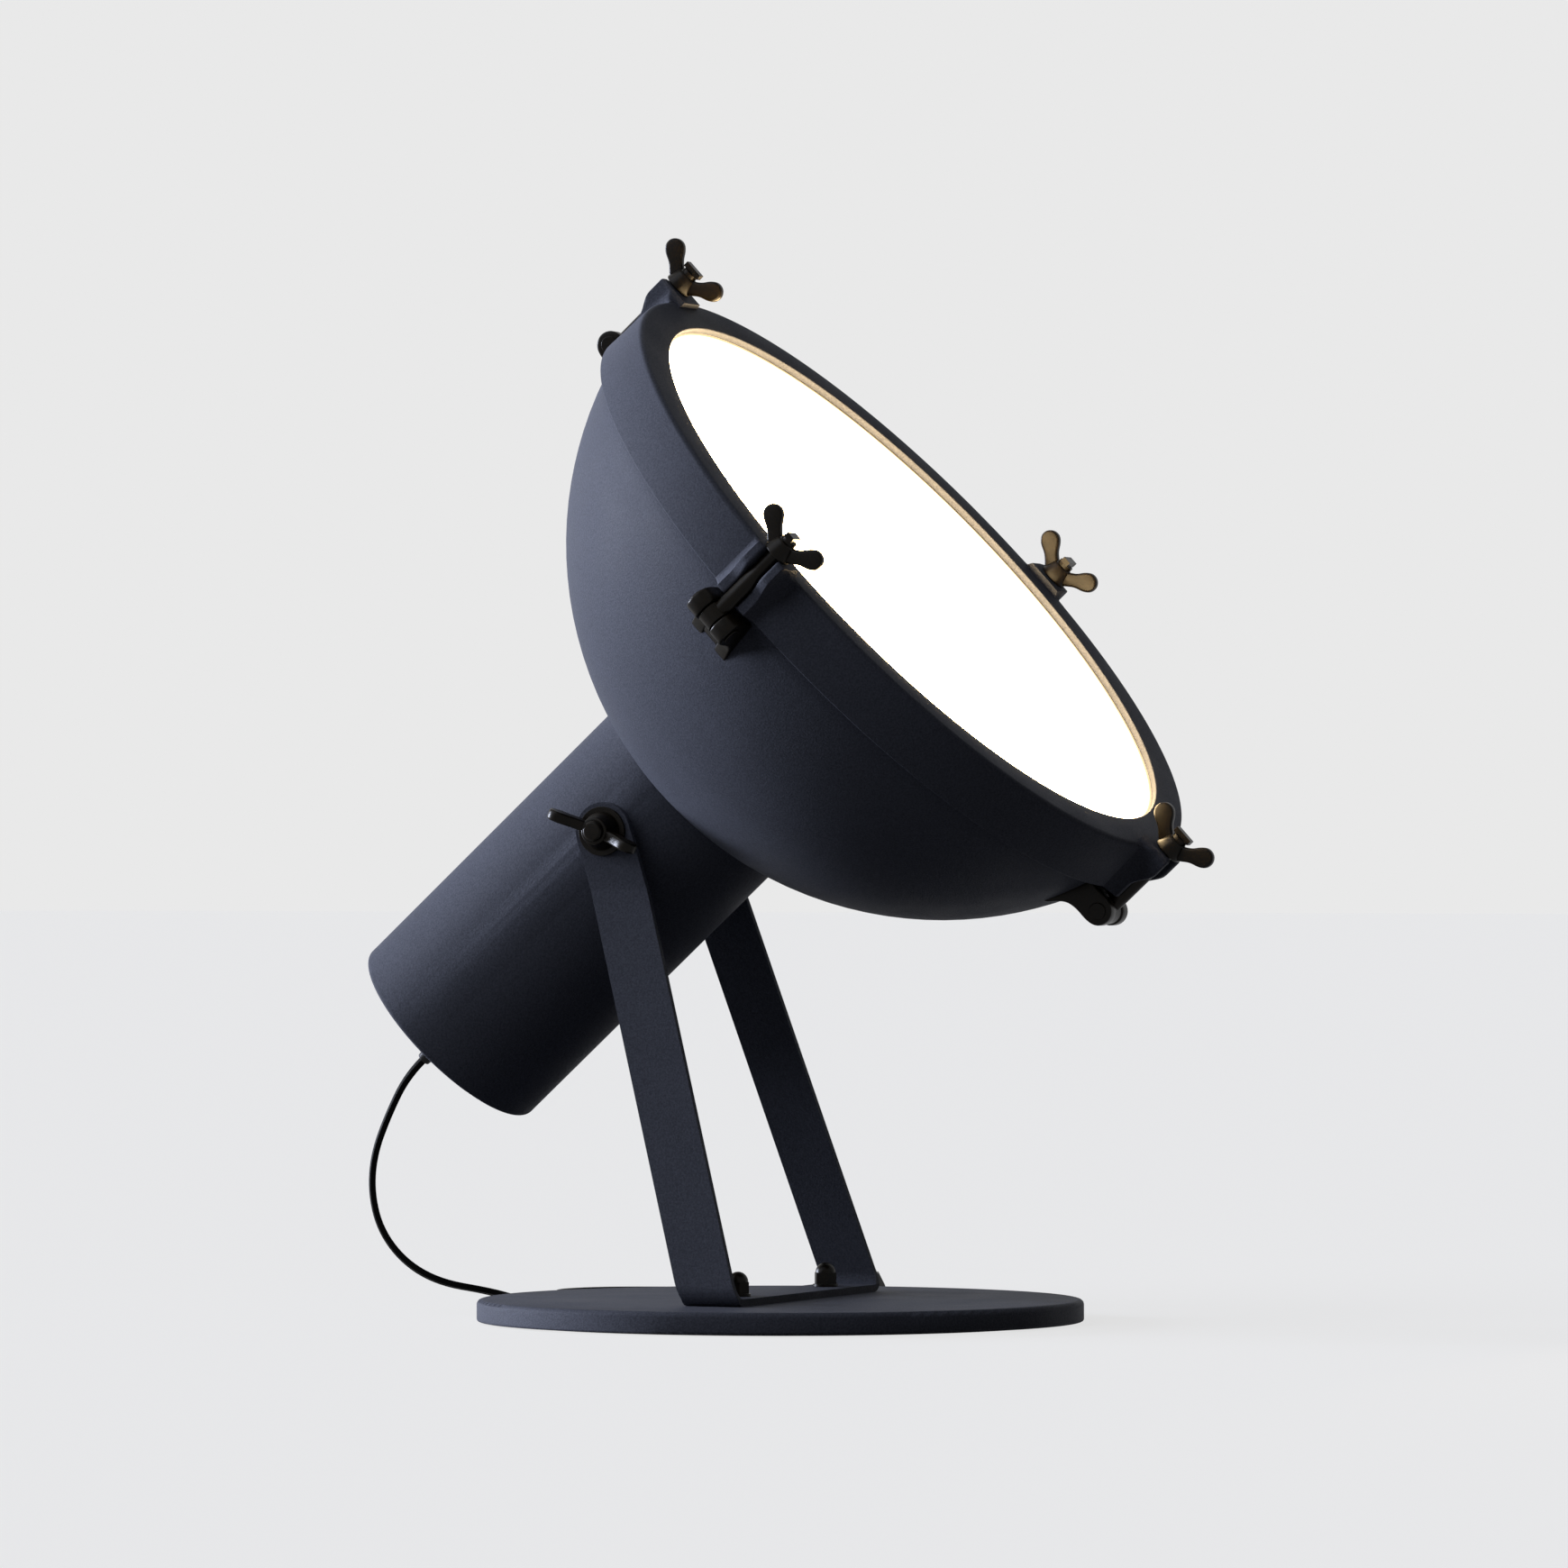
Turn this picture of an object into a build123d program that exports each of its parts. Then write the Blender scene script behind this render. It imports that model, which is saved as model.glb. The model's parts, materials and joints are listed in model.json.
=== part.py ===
from build123d import *

import math
import os

# Tabletop searchlight lamp, in millimetres.
# +Z is up, +X is the way the light leans forward, and the origin is the centre of the base's underside.
# The head is a tube with a spun bowl on its front, hung in a yoke that stands on a round base.
# A cast front ring with the glass is held to the bowl by four swing bolts with wing nuts.

os.makedirs("parts", exist_ok=True)


# ---- Driving dimensions ----

# Base
base_r = 149.0
base_top = 11.5
base_round = 2.6
base_lower_round = 1.2
pad_r = 138.0
pad_t = 2.0
pad_recess = 1.2
pad_clearance = 0.2

# Yoke strap
strap_w = 28.4
strap_t = 3.6
strap_foot_half = 95.5
strap_foot_x = 1.0
strap_top_inner = 60.5
strap_upper_bend_z = 212.0
strap_bend_r = 6.8
strap_upper_bend_r = 12.0
strap_skew_start = 8.0

# Fixings of the yoke on the base
fixing_y = 58.0
fixing_r = 3.0
fixing_hole_clearance = 0.3
fixing_head_r = 5.0
fixing_head_h = 4.0
fixing_head_clearance = 0.4
fixing_cover = 1.6
fixing_washer_r = 6.2
fixing_washer_t = 1.4
cap_nut_flats = 10.0
cap_nut_hex_h = 5.6
cap_nut_dome_h = 5.0
thread_clearance = 0.05

# Head: where its pivot is and how it is set
pivot_x = -67.8
pivot_z = 240.8
head_elevation = 42.5

# Housing tube, along the head's axis from the pivot
tube_r = 56.1
tube_wall = 2.0
tube_rear = -148.0
tube_flange_t = 4.0
neck_r = 40.0
neck_wall = 2.5
neck_length = 13.0
boss_r = 11.0
boss_reach = 59.5
boss_root = 44.0
post_r = 4.0
post_length = 16.0
post_circle_r = 50.5

# Rear cap and cord outlet
cap_t = 3.0
cap_plug_t = 2.5
cap_round = 1.6
cap_clearance = 0.2
cap_screw_r = 1.5
cap_screw_head_r = 3.1
cap_screw_length = 12.0
cap_screw_count = 3
gland_shank_r = 5.5
gland_flange_r = 7.5
gland_flange_t = 3.0
gland_cone_length = 17.0
gland_tip_r = 3.3
gland_nut_flats = 15.0
gland_nut_t = 4.0
gland_tail = 1.5

# Bowl: its back is counted along the head's axis from the pivot
bowl_r = 183.5
bowl_wall = 2.2
bowl_back = 23.8
bowl_lip_step = 6.3
bowl_lip_length = 17.8
seat_gap = 0.1
ring_nut_r = 48.0
ring_nut_t = 11.0
ring_nut_notch = 6.0

# Front ring, flush with the bowl at its rear
ring_draft = 1.0
ring_face_w = 18.8
ring_length = 28.4
ring_flange_t = 3.4
ring_wall = 3.3
ring_lip_t = 3.4
ring_round = 2.5
ring_clearance = 0.3

# Glass and its gasket: how far each reaches behind the ring's face
glass_overlap = 6.3
glass_t = 5.0
gasket_set_back = 1.3
gasket_front_t = 0.8
gasket_fit = 0.05
gasket_glass_gap = 0.2

# Clamps: a clevis lug on the bowl, a swing bolt on a pin, and an ear on the ring
clamp_count = 4
clamp_stand_off = 5.7
clamp_pin_back = 10.63
clamp_pin_r = 3.0
clamp_pin_head_r = 4.2
clamp_pin_head_t = 1.0
lug_half = 12.6
lug_lobe_r = 7.0
lug_slot_half = 4.6
lug_flare_back = 15.0
lug_flare_drop = 9.0
lug_sink = 30.0
eye_r = 6.3
eye_half = 3.8
eye_clearance = 0.7
shank_r = 4.0
shank_stand_out = 9.9
bolt_bar_l = 10.0
bolt_bar_w = 4.5
bolt_bar_h = 2.7
running_clearance = 0.05
ear_half = 10.4
ear_foot_half = 26.0
ear_slot_r = 4.5
ear_rear_cover = 0.4
ear_front_cover = 6.0
ear_rear_length = 8.6
ear_shoulder = 13.0
ear_root_depth = 2.7
ear_foot_depth = 1.6
ear_knee = 1.2
ear_proud = 3.47
clamp_nut_gap = 0.1

# Wing nuts: hub, then the circles of each wing's root, waist and tip
clamp_hub_r = 7.2
clamp_hub_top_r = 5.5
clamp_hub_h = 7.9
clamp_wing_root = 5.5
clamp_wing_root_h = 4.4
clamp_wing_root_r = 3.7
clamp_wing_waist = 9.8
clamp_wing_waist_h = 7.7
clamp_wing_waist_r = 3.1
clamp_wing_tip = 14.9
clamp_wing_tip_h = 11.8
clamp_wing_tip_r = 4.7
clamp_wing_t = 4.5
pivot_hub_r = 9.4
pivot_hub_top_r = 7.0
pivot_hub_h = 9.6
pivot_wing_root = 7.5
pivot_wing_root_h = 5.2
pivot_wing_root_r = 4.4
pivot_wing_waist = 13.0
pivot_wing_waist_h = 8.0
pivot_wing_waist_r = 3.6
pivot_wing_tip = 19.3
pivot_wing_tip_h = 11.2
pivot_wing_tip_r = 4.9
pivot_wing_t = 5.3
pivot_wing_turn = 22.0
wing_round = 1.2

# Pivot: stud, fibre washer inside the strap and steel washer outside it
stud_r = 5.0
stud_end = 78.0
stud_chamfer = 1.0
fibre_washer_t = 0.8
steel_washer_t = 1.5
steel_washer_r = 12.0
washer_gap = 0.1

# Lampholder, bulb and reflector
bracket_t = 2.0
bracket_skirt = 12.0
bracket_hole_r = 6.0
holder_r = 20.0
holder_skirt_r = 23.0
holder_skirt_t = 4.0
holder_length = 36.0
holder_floor = 10.0
bulb_cap_r = 13.2
bulb_cap_length = 27.0
bulb_tip_r = 5.0
bulb_tip_h = 2.3
bulb_r = 30.0
bulb_length = 108.0
bulb_gap = 0.3
terminal_l = 34.0
terminal_w = 18.0
terminal_h = 14.0
terminal_offset = 24.0
terminal_screw_r = 2.2
terminal_screw_depth = 5.0
reflector_t = 1.0
reflector_neck_r = 41.5
reflector_start_r = 47.0
reflector_mouth_step = 3.7
reflector_rim_gap = 0.3

# Flex: laid as a round tube of the same section as the flat flex
flex_r = 2.2
flex_w = 5.4
flex_h = 3.2
flex_length = 1800.0
coil_mid_r = 29.7
coil_layers = 2
coil_turns = 3
coil_round = 1.0
coil_slack = 0.2
coil_across = -80.0
coil_behind = 176.0
flex_end_gap = 0.4

# In-line switch
switch_l = 58.0
switch_w = 25.0
switch_base_h = 8.0
switch_cover_h = 7.5
switch_round = 5.0
switch_wall = 2.2
switch_flex_z = 5.5
rocker_l = 17.0
rocker_w = 9.0
rocker_rise = 1.6
rocker_axle_r = 1.5
rocker_tilt = 7.0
rocker_gap = 0.4
switch_screw_r = 1.4
switch_screw_head_r = 2.6
switch_screw_head_h = 1.6
switch_screw_inset = 7.0

# Plug: flat two-pin
plug_w = 35.3
plug_h = 13.7
plug_l = 36.0
plug_relief_l = 20.0
plug_relief_r = 5.0
plug_relief_tip_r = 3.2
plug_tail_w = 14.0
plug_pin_pitch = 19.0
plug_pin_r = 2.0
plug_pin_l = 19.0
plug_round = 2.0


# ---- Places worked out from the sizes ----

lean = math.radians(head_elevation)
pivot = Vector(pivot_x, 0, pivot_z)
head_axis = Vector(math.cos(lean), 0, math.sin(lean))
head_up = Vector(-math.sin(lean), 0, math.cos(lean))
head_side = head_axis.cross(head_up)
head_line = Axis(pivot, head_axis)
# A section through the head: along its axis from the pivot, then out from the axis.
head_section = Plane(origin=pivot, x_dir=head_axis, z_dir=head_side)


def head_radial(angle):
    """Direction out from the head's axis, counted from its top side."""
    turn = math.radians(angle)
    return head_up * math.cos(turn) + head_side * math.sin(turn)


def head_point(along, out=0.0, angle=0.0):
    """A point of the head, by its distance along the axis and out from it."""
    return pivot + head_axis * along + head_radial(angle) * out


def head_section_at(angle):
    """Section plane of the head through the radial direction at an angle."""
    return Plane(origin=pivot, x_dir=head_axis, z_dir=head_axis.cross(head_radial(angle)))


bowl_centre = bowl_back + bowl_r
bowl_lip_r = bowl_r - bowl_lip_step


def bowl_along(radius, out):
    """Where a sphere about the bowl's centre is, along the axis, at a distance from the axis."""
    return bowl_centre - math.sqrt(radius**2 - out**2)


def bowl_point(radius, out):
    """A point of the head's section on a sphere about the bowl's centre."""
    return (bowl_along(radius, out), out)


def arc_middle(radius, from_out, to_out):
    """A point between two others on such a sphere."""
    return bowl_point(radius, (from_out + to_out) / 2)


clamp_angles = [360 / clamp_count * number for number in range(clamp_count)]
clamp_names = ["top", "near", "bottom", "far"]

bowl_inner_r = bowl_r - bowl_wall
ring_rear = bowl_along(bowl_r, bowl_lip_r)
ring_front = ring_rear + ring_length
ring_rear_r = bowl_r
ring_front_r = ring_rear_r - ring_draft
ring_aperture_r = ring_front_r - ring_face_w
glass_r = ring_aperture_r + glass_overlap
gasket_inner_r = ring_aperture_r + gasket_set_back
reflector_mouth_r = ring_aperture_r - reflector_mouth_step
ring_inner_r = ring_rear_r - ring_wall
lip_end = ring_rear + bowl_lip_length
glass_front = ring_front - ring_flange_t - gasket_front_t
glass_rear = glass_front - glass_t

clamp_circle_r = bowl_r + clamp_stand_off
clamp_pin_a = ring_rear - clamp_pin_back
ear_face_r = clamp_pin_back + ring_length + ear_proud
ear_rear_r = clamp_circle_r + ear_rear_cover
ear_flange_r = clamp_circle_r + ear_front_cover
ear_root_r = ring_rear_r - ear_root_depth
clamp_seat = clamp_pin_a + ear_face_r + clamp_nut_gap
shank_end = clamp_seat + shank_stand_out
lug_slot_floor = clamp_circle_r - eye_r - eye_clearance
lug_flare_start = clamp_pin_a - lug_flare_back
gasket_outer_r = bowl_lip_r - ring_clearance
ring_locator_r = gasket_outer_r + pad_clearance

tube_inner_r = tube_r - tube_wall
tube_body_rear = tube_rear + cap_t
tube_seat_r = bowl_r + seat_gap
neck_front = bowl_along(tube_seat_r, neck_r) + neck_length
flange_back = bowl_along(tube_seat_r, neck_r) - tube_flange_t
nut_front = bowl_along(bowl_inner_r, neck_r) + ring_nut_t

strap_top_outer = strap_top_inner + strap_t
strap_top_mid = strap_top_inner + strap_t / 2
strap_foot_mid_z = base_top + strap_t / 2
strap_top = base_top + strap_t
fixing_places = [(strap_foot_x, -fixing_y), (strap_foot_x, fixing_y)]
strap_arm_lean = math.atan2(strap_foot_x - pivot_x, pivot_z - strap_foot_mid_z)
stud_hole_r = stud_r + running_clearance
boss_seat = boss_reach + washer_gap
pivot_nut_seat = strap_top_outer + steel_washer_t + 2 * washer_gap

coil_layer_w = coil_turns * flex_w
coil_h = coil_layers * flex_h + coil_slack
# The view that hides the flex runs along "behind"; "across" is level and square to it.
across = Vector(0.929, 0.370, 0)
behind = Vector(-0.370, 0.929, 0)


def laid(across_by, behind_by, height):
    """A point on the table, by its places across and behind the lamp."""
    return across * across_by + behind * behind_by + Vector(0, 0, height)


coil_place = laid(coil_across, coil_behind, 0)
coil_edge_across = coil_across - coil_mid_r - (coil_turns - 1) / 2 * flex_w


# ---- Base ----

with BuildPart() as base_plate:
    with BuildSketch(Plane.XY.offset(pad_t - pad_recess)):
        Circle(base_r)
    extrude(amount=base_top - pad_t + pad_recess)
    fillet(base_plate.edges().group_by(Axis.Z)[-1], base_round)
    fillet(base_plate.edges().group_by(Axis.Z)[0], base_lower_round)
    # The felt lies in a shallow recess.
    with BuildSketch(Plane.XY.offset(pad_t - pad_recess)):
        Circle(pad_r + pad_clearance)
    extrude(amount=pad_recess, mode=Mode.SUBTRACT)
    # Each bolt head is sunk from below, clear of the felt.
    with BuildSketch(Plane.XY.offset(pad_t)):
        with Locations(*fixing_places):
            Circle(fixing_head_r + fixing_head_clearance)
    extrude(amount=fixing_cover + fixing_head_h, mode=Mode.SUBTRACT)
    with BuildSketch(Plane.XY.offset(pad_t)):
        with Locations(*fixing_places):
            Circle(fixing_r + fixing_hole_clearance)
    extrude(amount=base_top, mode=Mode.SUBTRACT)
base_plate.part.label = "base_plate"
export_step(base_plate.part, "parts/base_plate.step")

with BuildPart() as base_pad:
    with BuildSketch(Plane.XY):
        Circle(pad_r)
    extrude(amount=pad_t)
base_pad.part.label = "base_pad"
export_step(base_pad.part, "parts/base_pad.step")


# ---- Yoke strap: one flat bar, bent twice at each side ----

arm_half_level = strap_w / 2 / math.cos(strap_arm_lean)
skew_start_z = strap_top + strap_skew_start
skew_start_x = strap_foot_x - math.tan(strap_arm_lean) * (skew_start_z - strap_foot_mid_z)
pivot_end_r = strap_w / 2
arm_out_x = pivot_end_r * math.cos(strap_arm_lean)
arm_out_z = pivot_end_r * math.sin(strap_arm_lean)
strap_end_z = pivot_z + pivot_end_r

with BuildPart() as yoke_strap:
    # Side outline: across the base, up both sides, then straight up past the head.
    with BuildSketch(Plane.YZ):
        with BuildLine() as strap_line:
            FilletPolyline(
                (-strap_top_mid, strap_end_z),
                (-strap_top_mid, strap_upper_bend_z),
                (-strap_foot_half, strap_foot_mid_z),
                (strap_foot_half, strap_foot_mid_z),
                (strap_top_mid, strap_upper_bend_z),
                (strap_top_mid, strap_end_z),
                radius=[strap_upper_bend_r, strap_bend_r, strap_bend_r, strap_upper_bend_r],
            )
        trace(line_width=strap_t)
    extrude(amount=2 * abs(pivot_x), both=True)
    # Front outline: each arm leans back from the foot to a round end about the pivot.
    with BuildSketch(Plane.XZ) as strap_front:
        with BuildLine():
            Polyline(
                (strap_foot_x - arm_half_level, base_top - strap_t),
                (strap_foot_x - arm_half_level, strap_top),
                (skew_start_x - arm_half_level, skew_start_z),
                (pivot_x - arm_out_x, pivot_z - arm_out_z),
                (pivot_x + arm_out_x, pivot_z + arm_out_z),
                (skew_start_x + arm_half_level, skew_start_z),
                (strap_foot_x + arm_half_level, strap_top),
                (strap_foot_x + arm_half_level, base_top - strap_t),
                close=True,
            )
        make_face()
        with Locations((pivot_x, pivot_z)):
            Circle(pivot_end_r)
    extrude(amount=2 * strap_foot_half, both=True, mode=Mode.INTERSECT)
    # Pivot holes through both arms, and the two fixing holes in the foot.
    with BuildSketch(Plane.XZ):
        with Locations((pivot_x, pivot_z)):
            Circle(stud_hole_r)
    extrude(amount=2 * strap_foot_half, both=True, mode=Mode.SUBTRACT)
    with BuildSketch(Plane.XY.offset(base_top)):
        with Locations(*fixing_places):
            Circle(fixing_r + fixing_hole_clearance)
    extrude(amount=2 * strap_t, mode=Mode.SUBTRACT)
yoke_strap.part.label = "yoke_strap"
export_step(yoke_strap.part, "parts/yoke_strap.step")


# ---- Fixings of the yoke: bolt from below, washer and domed cap nut on the strap ----

bolt_head_top = pad_t + fixing_cover + fixing_head_h
washer_top = strap_top + fixing_washer_t
bolt_end = washer_top + cap_nut_hex_h

with BuildPart() as base_bolts:
    with BuildSketch(Plane.XY.offset(bolt_head_top - fixing_head_h)):
        with Locations(*fixing_places):
            Circle(fixing_head_r)
    extrude(amount=fixing_head_h)
    with BuildSketch(Plane.XY.offset(bolt_head_top)):
        with Locations(*fixing_places):
            Circle(fixing_r)
    extrude(amount=bolt_end - bolt_head_top)
    # Socket for the key.
    with BuildSketch(Plane.XY.offset(bolt_head_top - fixing_head_h)):
        with Locations(*fixing_places):
            RegularPolygon(fixing_head_r / 2, 6)
    extrude(amount=fixing_head_h / 2, mode=Mode.SUBTRACT)
base_bolts.part.label = "base_bolts"
export_step(base_bolts.part, "parts/base_bolts.step")

with BuildPart() as base_washers:
    with BuildSketch(Plane.XY.offset(strap_top)):
        with Locations(*fixing_places):
            Circle(fixing_washer_r)
            Circle(fixing_r + fixing_hole_clearance, mode=Mode.SUBTRACT)
    extrude(amount=fixing_washer_t)
base_washers.part.label = "base_washers"
export_step(base_washers.part, "parts/base_washers.step")

dome_r = cap_nut_flats / 2
dome_centre_z = washer_top + cap_nut_hex_h + cap_nut_dome_h - dome_r

with BuildPart() as base_cap_nuts:
    with BuildSketch(Plane.XY.offset(washer_top)):
        with Locations(*fixing_places):
            RegularPolygon(cap_nut_flats / 2, 6, major_radius=False)
    extrude(amount=cap_nut_hex_h)
    for place_x, place_y in fixing_places:
        with Locations((place_x, place_y, dome_centre_z)):
            Sphere(dome_r)
    with BuildSketch(Plane.XY.offset(washer_top)):
        with Locations(*fixing_places):
            Circle(fixing_r + thread_clearance)
    extrude(amount=cap_nut_hex_h + thread_clearance, mode=Mode.SUBTRACT)
base_cap_nuts.part.label = "base_cap_nuts"
export_step(base_cap_nuts.part, "parts/base_cap_nuts.step")


# ---- Housing tube: wall, front flange that fits the bowl, neck for the ring nut, pivot bosses ----

post_rear = tube_body_rear + cap_plug_t
cap_face = Plane(origin=head_point(tube_rear), x_dir=head_up, z_dir=-head_axis)

with BuildPart() as housing_tube:
    with BuildSketch(head_section):
        with BuildLine():
            seat_outer = bowl_point(tube_seat_r, tube_r)
            seat_inner = bowl_point(tube_seat_r, neck_r)
            Polyline((tube_body_rear, tube_inner_r), (tube_body_rear, tube_r), seat_outer)
            ThreePointArc(seat_outer, arc_middle(tube_seat_r, tube_r, neck_r), seat_inner)
            Polyline(
                seat_inner,
                (neck_front, neck_r),
                (neck_front, neck_r - neck_wall),
                (flange_back, neck_r - neck_wall),
                (flange_back, tube_inner_r),
                (tube_body_rear, tube_inner_r),
            )
        make_face()
    revolve(axis=head_line)
    # Pivot bosses, one each side, thickened inwards for the stud's thread.
    for side in (-1, 1):
        boss_face = Plane(origin=(pivot_x, side * boss_root, pivot_z), x_dir=(1, 0, 0), z_dir=(0, side, 0))
        with BuildSketch(boss_face):
            Circle(boss_r)
        extrude(amount=boss_reach - boss_root)
        with BuildSketch(boss_face):
            Circle(stud_r + thread_clearance)
        extrude(amount=boss_reach - boss_root, mode=Mode.SUBTRACT)
    # Posts on the wall, which the rear cap is screwed to.
    with BuildSketch(cap_face.offset(tube_rear - post_rear)):
        with PolarLocations(post_circle_r, cap_screw_count):
            Circle(post_r)
    extrude(amount=-post_length)
    with BuildSketch(cap_face.offset(tube_rear - post_rear)):
        with PolarLocations(post_circle_r, cap_screw_count):
            Circle(cap_screw_r + thread_clearance)
    extrude(amount=-post_length, mode=Mode.SUBTRACT)
housing_tube.part.label = "housing_tube"
export_step(housing_tube.part, "parts/housing_tube.step")


# ---- Rear cap, its screws, and the cord gland in its middle ----

screw_head_depth = cap_screw_head_r - cap_screw_r

with BuildPart(cap_face) as rear_cap:
    with BuildSketch(cap_face.offset(-cap_t)):
        Circle(tube_r)
    extrude(amount=cap_t)
    fillet(rear_cap.edges().sort_by(head_line)[0], cap_round)
    with BuildSketch(cap_face.offset(-cap_t)):
        Circle(tube_inner_r - cap_clearance)
    extrude(amount=-cap_plug_t)
    with BuildSketch(cap_face):
        Circle(gland_shank_r + pad_clearance)
    extrude(amount=-(cap_t + cap_plug_t), mode=Mode.SUBTRACT)
    with PolarLocations(post_circle_r, cap_screw_count):
        CounterSinkHole(
            cap_screw_r + pad_clearance,
            cap_screw_head_r + pad_clearance,
            depth=cap_t + cap_plug_t,
            counter_sink_angle=90,
        )
rear_cap.part.label = "rear_cap"
export_step(rear_cap.part, "parts/rear_cap.step")

with BuildPart() as rear_cap_screws:
    with BuildSketch(cap_face):
        with PolarLocations(post_circle_r, cap_screw_count):
            Circle(cap_screw_head_r)
    extrude(amount=-screw_head_depth, taper=45)
    with BuildSketch(cap_face):
        with PolarLocations(post_circle_r, cap_screw_count):
            Circle(cap_screw_r)
    extrude(amount=-cap_screw_length)
rear_cap_screws.part.label = "rear_cap_screws"
export_step(rear_cap_screws.part, "parts/rear_cap_screws.step")

cap_inside = tube_body_rear + cap_plug_t
gland_nut_front = cap_inside + gland_nut_t
gland_front = gland_nut_front + gland_tail
gland_end = tube_rear - gland_flange_t - gland_cone_length

with BuildPart() as cord_gland:
    with BuildSketch(head_section):
        with BuildLine():
            Polyline(
                (gland_end, flex_r + thread_clearance),
                (gland_end, gland_tip_r),
                (tube_rear - gland_flange_t, gland_shank_r),
                (tube_rear - gland_flange_t, gland_flange_r),
                (tube_rear, gland_flange_r),
                (tube_rear, gland_shank_r),
                (gland_front, gland_shank_r),
                (gland_front, flex_r + thread_clearance),
                close=True,
            )
        make_face()
    revolve(axis=head_line)
cord_gland.part.label = "cord_gland"
export_step(cord_gland.part, "parts/cord_gland.step")

with BuildPart() as gland_nut:
    with BuildSketch(cap_face.offset(tube_rear - cap_inside)):
        RegularPolygon(gland_nut_flats / 2, 6, major_radius=False)
        Circle(gland_shank_r + thread_clearance, mode=Mode.SUBTRACT)
    extrude(amount=-gland_nut_t)
gland_nut.part.label = "gland_nut"
export_step(gland_nut.part, "parts/gland_nut.step")


# ---- Bowl: a spun sphere with a straight lip for the ring ----

with BuildPart() as bowl:
    with BuildSketch(head_section):
        with BuildLine():
            hole_r = neck_r + cap_clearance
            outer_start = bowl_point(bowl_r, hole_r)
            outer_end = bowl_point(bowl_r, bowl_lip_r)
            inner_lip_r = bowl_lip_r - bowl_wall
            inner_start = bowl_point(bowl_inner_r, hole_r)
            inner_end = bowl_point(bowl_inner_r, inner_lip_r)
            ThreePointArc(outer_start, arc_middle(bowl_r, hole_r, bowl_lip_r), outer_end)
            Polyline(outer_end, (lip_end, bowl_lip_r), (lip_end, inner_lip_r), inner_end)
            ThreePointArc(inner_end, arc_middle(bowl_inner_r, hole_r, inner_lip_r), inner_start)
            Line(inner_start, outer_start)
        make_face()
    revolve(axis=head_line)
bowl.part.label = "bowl"
export_step(bowl.part, "parts/bowl.step")

with BuildPart() as bowl_ring_nut:
    with BuildSketch(head_section):
        with BuildLine():
            nut_bore_r = neck_r + thread_clearance
            nut_seat_inner = bowl_point(bowl_inner_r - seat_gap, nut_bore_r)
            nut_seat_outer = bowl_point(bowl_inner_r - seat_gap, ring_nut_r)
            seat_middle = arc_middle(bowl_inner_r - seat_gap, nut_bore_r, ring_nut_r)
            ThreePointArc(nut_seat_inner, seat_middle, nut_seat_outer)
            Polyline(nut_seat_outer, (nut_front, ring_nut_r), (nut_front, nut_bore_r), nut_seat_inner)
        make_face()
    revolve(axis=head_line)
    # Notches for the spanner.
    with BuildSketch(Plane(origin=head_point(nut_front), x_dir=head_up, z_dir=head_axis)):
        with PolarLocations(ring_nut_r, clamp_count):
            Rectangle(ring_nut_notch, ring_nut_notch)
    extrude(amount=-ring_nut_t / 2, mode=Mode.SUBTRACT)
bowl_ring_nut.part.label = "bowl_ring_nut"
export_step(bowl_ring_nut.part, "parts/bowl_ring_nut.step")


# ---- Front ring: a cast door with an ear at each clamp ----

shoulder_start = (ring_rear + ear_rear_length, ear_rear_r)
shoulder_end = (ring_rear + ear_rear_length + ear_shoulder, ear_flange_r)
shoulder_middle = (
    ring_rear + ear_rear_length + ear_shoulder / 2,
    (ear_rear_r + ear_flange_r) / 2,
)
ear_foot_r = ring_rear_r - ear_foot_depth
ear_foot_turn = math.asin(ear_foot_half / ear_foot_r)
ear_foot_rise = ear_foot_r * math.cos(ear_foot_turn)


def face_along(out):
    """Where the ears' rounded front is, at a distance from the head's axis."""
    return clamp_pin_a + math.sqrt(ear_face_r**2 - (clamp_circle_r - out) ** 2)


def ear_profile(angle):
    """An ear from its side: low at the rear, a soft shoulder, and a front that follows the bolt's swing."""
    with BuildSketch(head_section_at(angle)) as profile:
        with BuildLine():
            middle_out = (ear_flange_r + ear_root_r) / 2
            face_top = (face_along(ear_flange_r), ear_flange_r)
            face_root = (face_along(ear_root_r), ear_root_r)
            Polyline(face_root, (ring_rear, ear_root_r), (ring_rear, ear_rear_r), shoulder_start)
            TangentArc(shoulder_start, shoulder_middle, tangent=(1, 0))
            TangentArc(shoulder_end, shoulder_middle, tangent=(-1, 0))
            Line(shoulder_end, face_top)
            ThreePointArc(face_top, (face_along(middle_out), middle_out), face_root)
        make_face()
    return profile.sketch


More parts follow.
